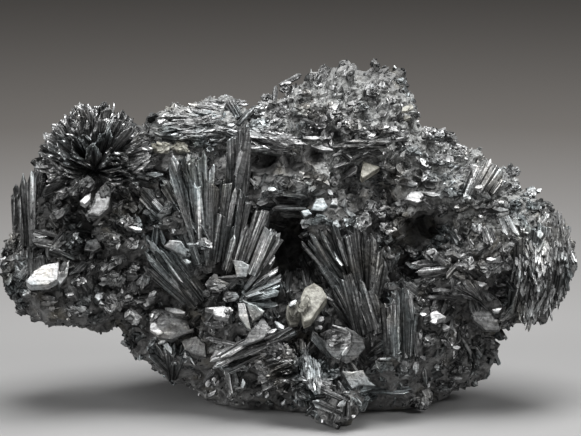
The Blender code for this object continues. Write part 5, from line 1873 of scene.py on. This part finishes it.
    def clusters_on(self, skin: Skin, forms: dict[Habit, list[Template]]) -> bpy.types.Object:
        """Small rosettes and sheaves, mostly on the back and the sides.

        Args:
            skin: the rock's surface.
            forms: the crystal forms.

        Returns:
            The new piece.
        """
        rng = random.Random(self.seed)
        pile = Pile("small_blades", forms, rng)
        low, high = self.cluster_heights
        for point, normal in skin.scattered(self.clusters, rng):
            front = normal.y < -0.25
            spare = front and rng.random() < 0.7
            if self.in_vug(point) or not low < point.z < high or normal.z < -0.1:
                continue
            if self.light(point) > self.cluster_light or spare:
                continue
            aim = (normal * 0.9 + boxed(rng) * 0.9).normalized()
            spine = aim.cross(boxed(rng))
            reach = (2.0 if normal.y > 0.3 and normal.z < 0.2 else 0.9) * rng.uniform(0.6, 1.3)
            root = point - normal * 0.2
            bright = self.light(point)
            tone_and_painted_light = (max(0.0, bright - 0.3), min(1.0, bright + 0.3))
            fan = Fan(
                tuple(root), tuple(root + aim * reach), tuple(spine), rng.uniform(25, 90), rng.randint(4, 8),
                reach * rng.uniform(0.3, 0.6), 0.3, habit=Habit.SLIP, layers=(1, 2), tone_and_painted_light=tone_and_painted_light, start=0.0,
                roll=12.0,
            )
            fan.grow(pile, rng)
        return pile.mesh_object()

    def grains_on(self, skin: Skin, forms: dict[Habit, list[Template]]) -> bpy.types.Object:
        """Single grains all over the rock.

        Args:
            skin: the rock's surface.
            forms: the crystal forms.

        Returns:
            The new piece.
        """
        rng = random.Random(self.seed + 1)
        pile = Pile("fine_druse", forms, rng)
        for point, normal in skin.scattered(self.grains, rng):
            bright = self.light(point)
            share = 0.5 if self.is_bare(point) else 0.45 + 1.2 * (bright - 0.3)
            if self.in_vug(point) or point.z < self.lowest or rng.random() > share:
                continue
            size = rng.uniform(0.22, 0.6) * (0.65 if bright > self.fine_light else 1.0)
            habit = rng.choice((Habit.GRAIN, Habit.FLAKE))
            aim = (normal * 0.5 + boxed(rng)).normalized()
            across = boxed(rng)
            thick = size * (0.8 if habit is Habit.GRAIN else 0.3)
            place = placement(point - aim * 0.4 * size, aim, across)
            tone_and_painted_light = clamped(rng.gauss(bright, 0.25))
            pile.add(habit, place, (size, size * rng.uniform(0.5, 0.95), thick), tone_and_painted_light)
        return pile.mesh_object()

    def drawn_on(
        self, name: str, crystals: tuple[Drawn, ...], face: Face, forms: dict[Habit, list[Template]]
    ) -> bpy.types.Object:
        """Drawn crystals that belong to no named group.

        Args:
            name: the piece's name.
            crystals: the drawn crystals.
            face: where they are seated.
            forms: the crystal forms.

        Returns:
            The new piece.
        """
        rng = random.Random(self.seed + 3)
        pile = Pile(name, forms, rng)
        for crystal in crystals:
            crystal.grow(pile, rng, face)
        return pile.mesh_object()


# Studio


@dataclass
class Studio:
    """The floor, the soft lights and the camera."""

    target: Triple = (0.24, 0.0, 19.16)
    distance: float = 285.4
    elevation: float = 10.0
    lens: float = 180.0
    floor_size: float = 4.0
    floor_near: Triple = (0.28, 0.28, 0.28)
    floor_far: Triple = (0.16, 0.15, 0.14)
    falloff: float = 0.2

    def eye(self) -> Triple:
        """Where the camera stands."""
        angle = math.radians(self.elevation)
        away = Vector((0, -math.cos(angle), math.sin(angle))) * self.distance
        return tuple(Vector(self.target) + away)

    def floor(self) -> bpy.types.Object:
        """A pale floor whose colour darkens evenly away from the specimen, a painted falloff of light.

        Returns:
            The floor.
        """
        bm = bmesh.new()
        bmesh.ops.create_circle(bm, cap_ends=True, segments=96, radius=self.floor_size / 2)
        mesh = bpy.data.meshes.new("floor")
        bm.to_mesh(mesh)
        bm.free()
        obj = bpy.data.objects.new("floor", mesh)
        bpy.context.collection.objects.link(obj)
        material, wiring, shader = new_material("pale_floor_painted_falloff")
        place = wiring.add("ShaderNodeTexCoord").outputs["Object"]
        distance = wiring.add("ShaderNodeVectorMath", {0: place}, operation="LENGTH").outputs["Value"]
        # Painted falloff of light: the floor's colour darkens with distance from the specimen.
        shade = wiring.range(distance, 0.0, self.falloff, 0.0, 1.0)
        colour = wiring.ramp(shade, [(0.0, self.floor_near), (1.0, self.floor_far)])
        wiring.link(colour, shader.inputs["Base Color"])
        shader.inputs["Roughness"].default_value = 0.9
        shader.inputs["Specular IOR Level"].default_value = 0.1
        mesh.materials.append(material)
        return obj

    def lamp(self, name: str, place: Triple, aim: Triple, size: tuple[float, float], watts: float) -> None:
        """A softbox.

        Args:
            name: its name.
            place: where it hangs.
            aim: the point that it faces.
            size: width and height.
            watts: its power.
        """
        light = bpy.data.lights.new(name, "AREA")
        light.shape = "RECTANGLE"
        light.size, light.size_y = size[0] * MM, size[1] * MM
        light.energy = watts
        obj = bpy.data.objects.new(name, light)
        obj.location = Vector(place) * MM
        obj.rotation_euler = (Vector(aim) - Vector(place)).to_track_quat("-Z", "Y").to_euler()
        bpy.context.collection.objects.link(obj)

    def camera(self) -> None:
        """The camera, level with the specimen and a little above it."""
        data = bpy.data.cameras.new("camera")
        data.lens = self.lens
        data.sensor_width = 36.0
        data.clip_start = 0.01
        obj = bpy.data.objects.new("camera", data)
        obj.location = Vector(self.eye()) * MM
        obj.rotation_euler = (Vector(self.target) - Vector(self.eye())).to_track_quat("-Z", "Y").to_euler()
        bpy.context.collection.objects.link(obj)
        bpy.context.scene.camera = obj

    def build(self) -> None:
        """Sets the whole studio up."""
        self.camera()
        self.floor()
        self.lamp("top_softbox", (40, -45, 330), (0, 0, 15), (270, 190), 2.0)
        self.lamp("front_card", (30, -330, 70), (0, 0, 12), (160, 60), 0.12)
        self.lamp("low_card", (-220, -60, 48), (-18, 3, 3), (110, 50), 0.18)
        self.lamp("left_card", (-240, -150, 190), (0, 0, 18), (90, 120), 0.5)
        self.lamp("right_card", (230, -130, 210), (0, 0, 18), (90, 120), 0.5)
        world = bpy.data.worlds.new("room")
        world.use_nodes = True
        world.node_tree.nodes["Background"].inputs["Color"].default_value = (0.035, 0.035, 0.035, 1)
        bpy.context.scene.world = world
        bpy.context.scene.view_settings.view_transform = "Standard"


def carried(obj: bpy.types.Object, slot: str, *nodes: str) -> None:
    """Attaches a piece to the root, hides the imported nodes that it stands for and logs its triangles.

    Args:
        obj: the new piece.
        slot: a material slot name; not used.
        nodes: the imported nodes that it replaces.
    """
    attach(obj, "root")
    if nodes:
        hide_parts(*nodes)
    obj.data.calc_loop_triangles()
    LOG.info("%s: %d triangles", obj.name, len(obj.data.loop_triangles))


def main() -> None:
    """Builds the specimen and the studio in order."""
    logging.basicConfig(level=logging.INFO, format="%(message)s")
    studio = Studio()
    studio.build()
    striation, patina = striation_group(), patina_group()
    semseyite = CrystalFinish().material(striation, patina)
    druse = CrystalFinish("druse", roughness=(0.44, 0.68), lines=4.0, relief=0.12).material(striation, patina)
    siderite = SideriteFinish().material(patina)
    forms = FormMaker().all_forms()
    cover = Overgrowth()
    host = Rock(hollow=cover.hollow, smooth=cover.bare)
    rock = host.build()
    rock.data.materials.clear()
    rock.data.materials.append(RockFinish().material(patina))
    host.brighten(rock, cover.light)
    carried(rock, "matrix", "matrix")
    skin = Skin(rock)
    face = Face(Drawing(studio.eye(), studio.target), skin)
    for group in GROUPS:
        material = siderite if group.node == "siderite_crystal" else semseyite
        carried(group.build(forms, face, material), group.node, group.node)
    loose = cover.drawn_on("loose_plates", LOOSE_DRAWN, face, forms)
    cream = cover.drawn_on("siderite_grains", CREAM_DRAWN, face, forms)
    scattered = [cover.slabs_on(skin, forms), cover.clusters_on(skin, forms), cover.grains_on(skin, forms)]
    for piece, material in [(loose, semseyite), (cream, siderite)] + [(piece, druse) for piece in scattered]:
        piece.data.materials.append(material)
        carried(piece, "siderite_crystal" if material is siderite else "matrix")


if __name__ == "__main__":
    main()
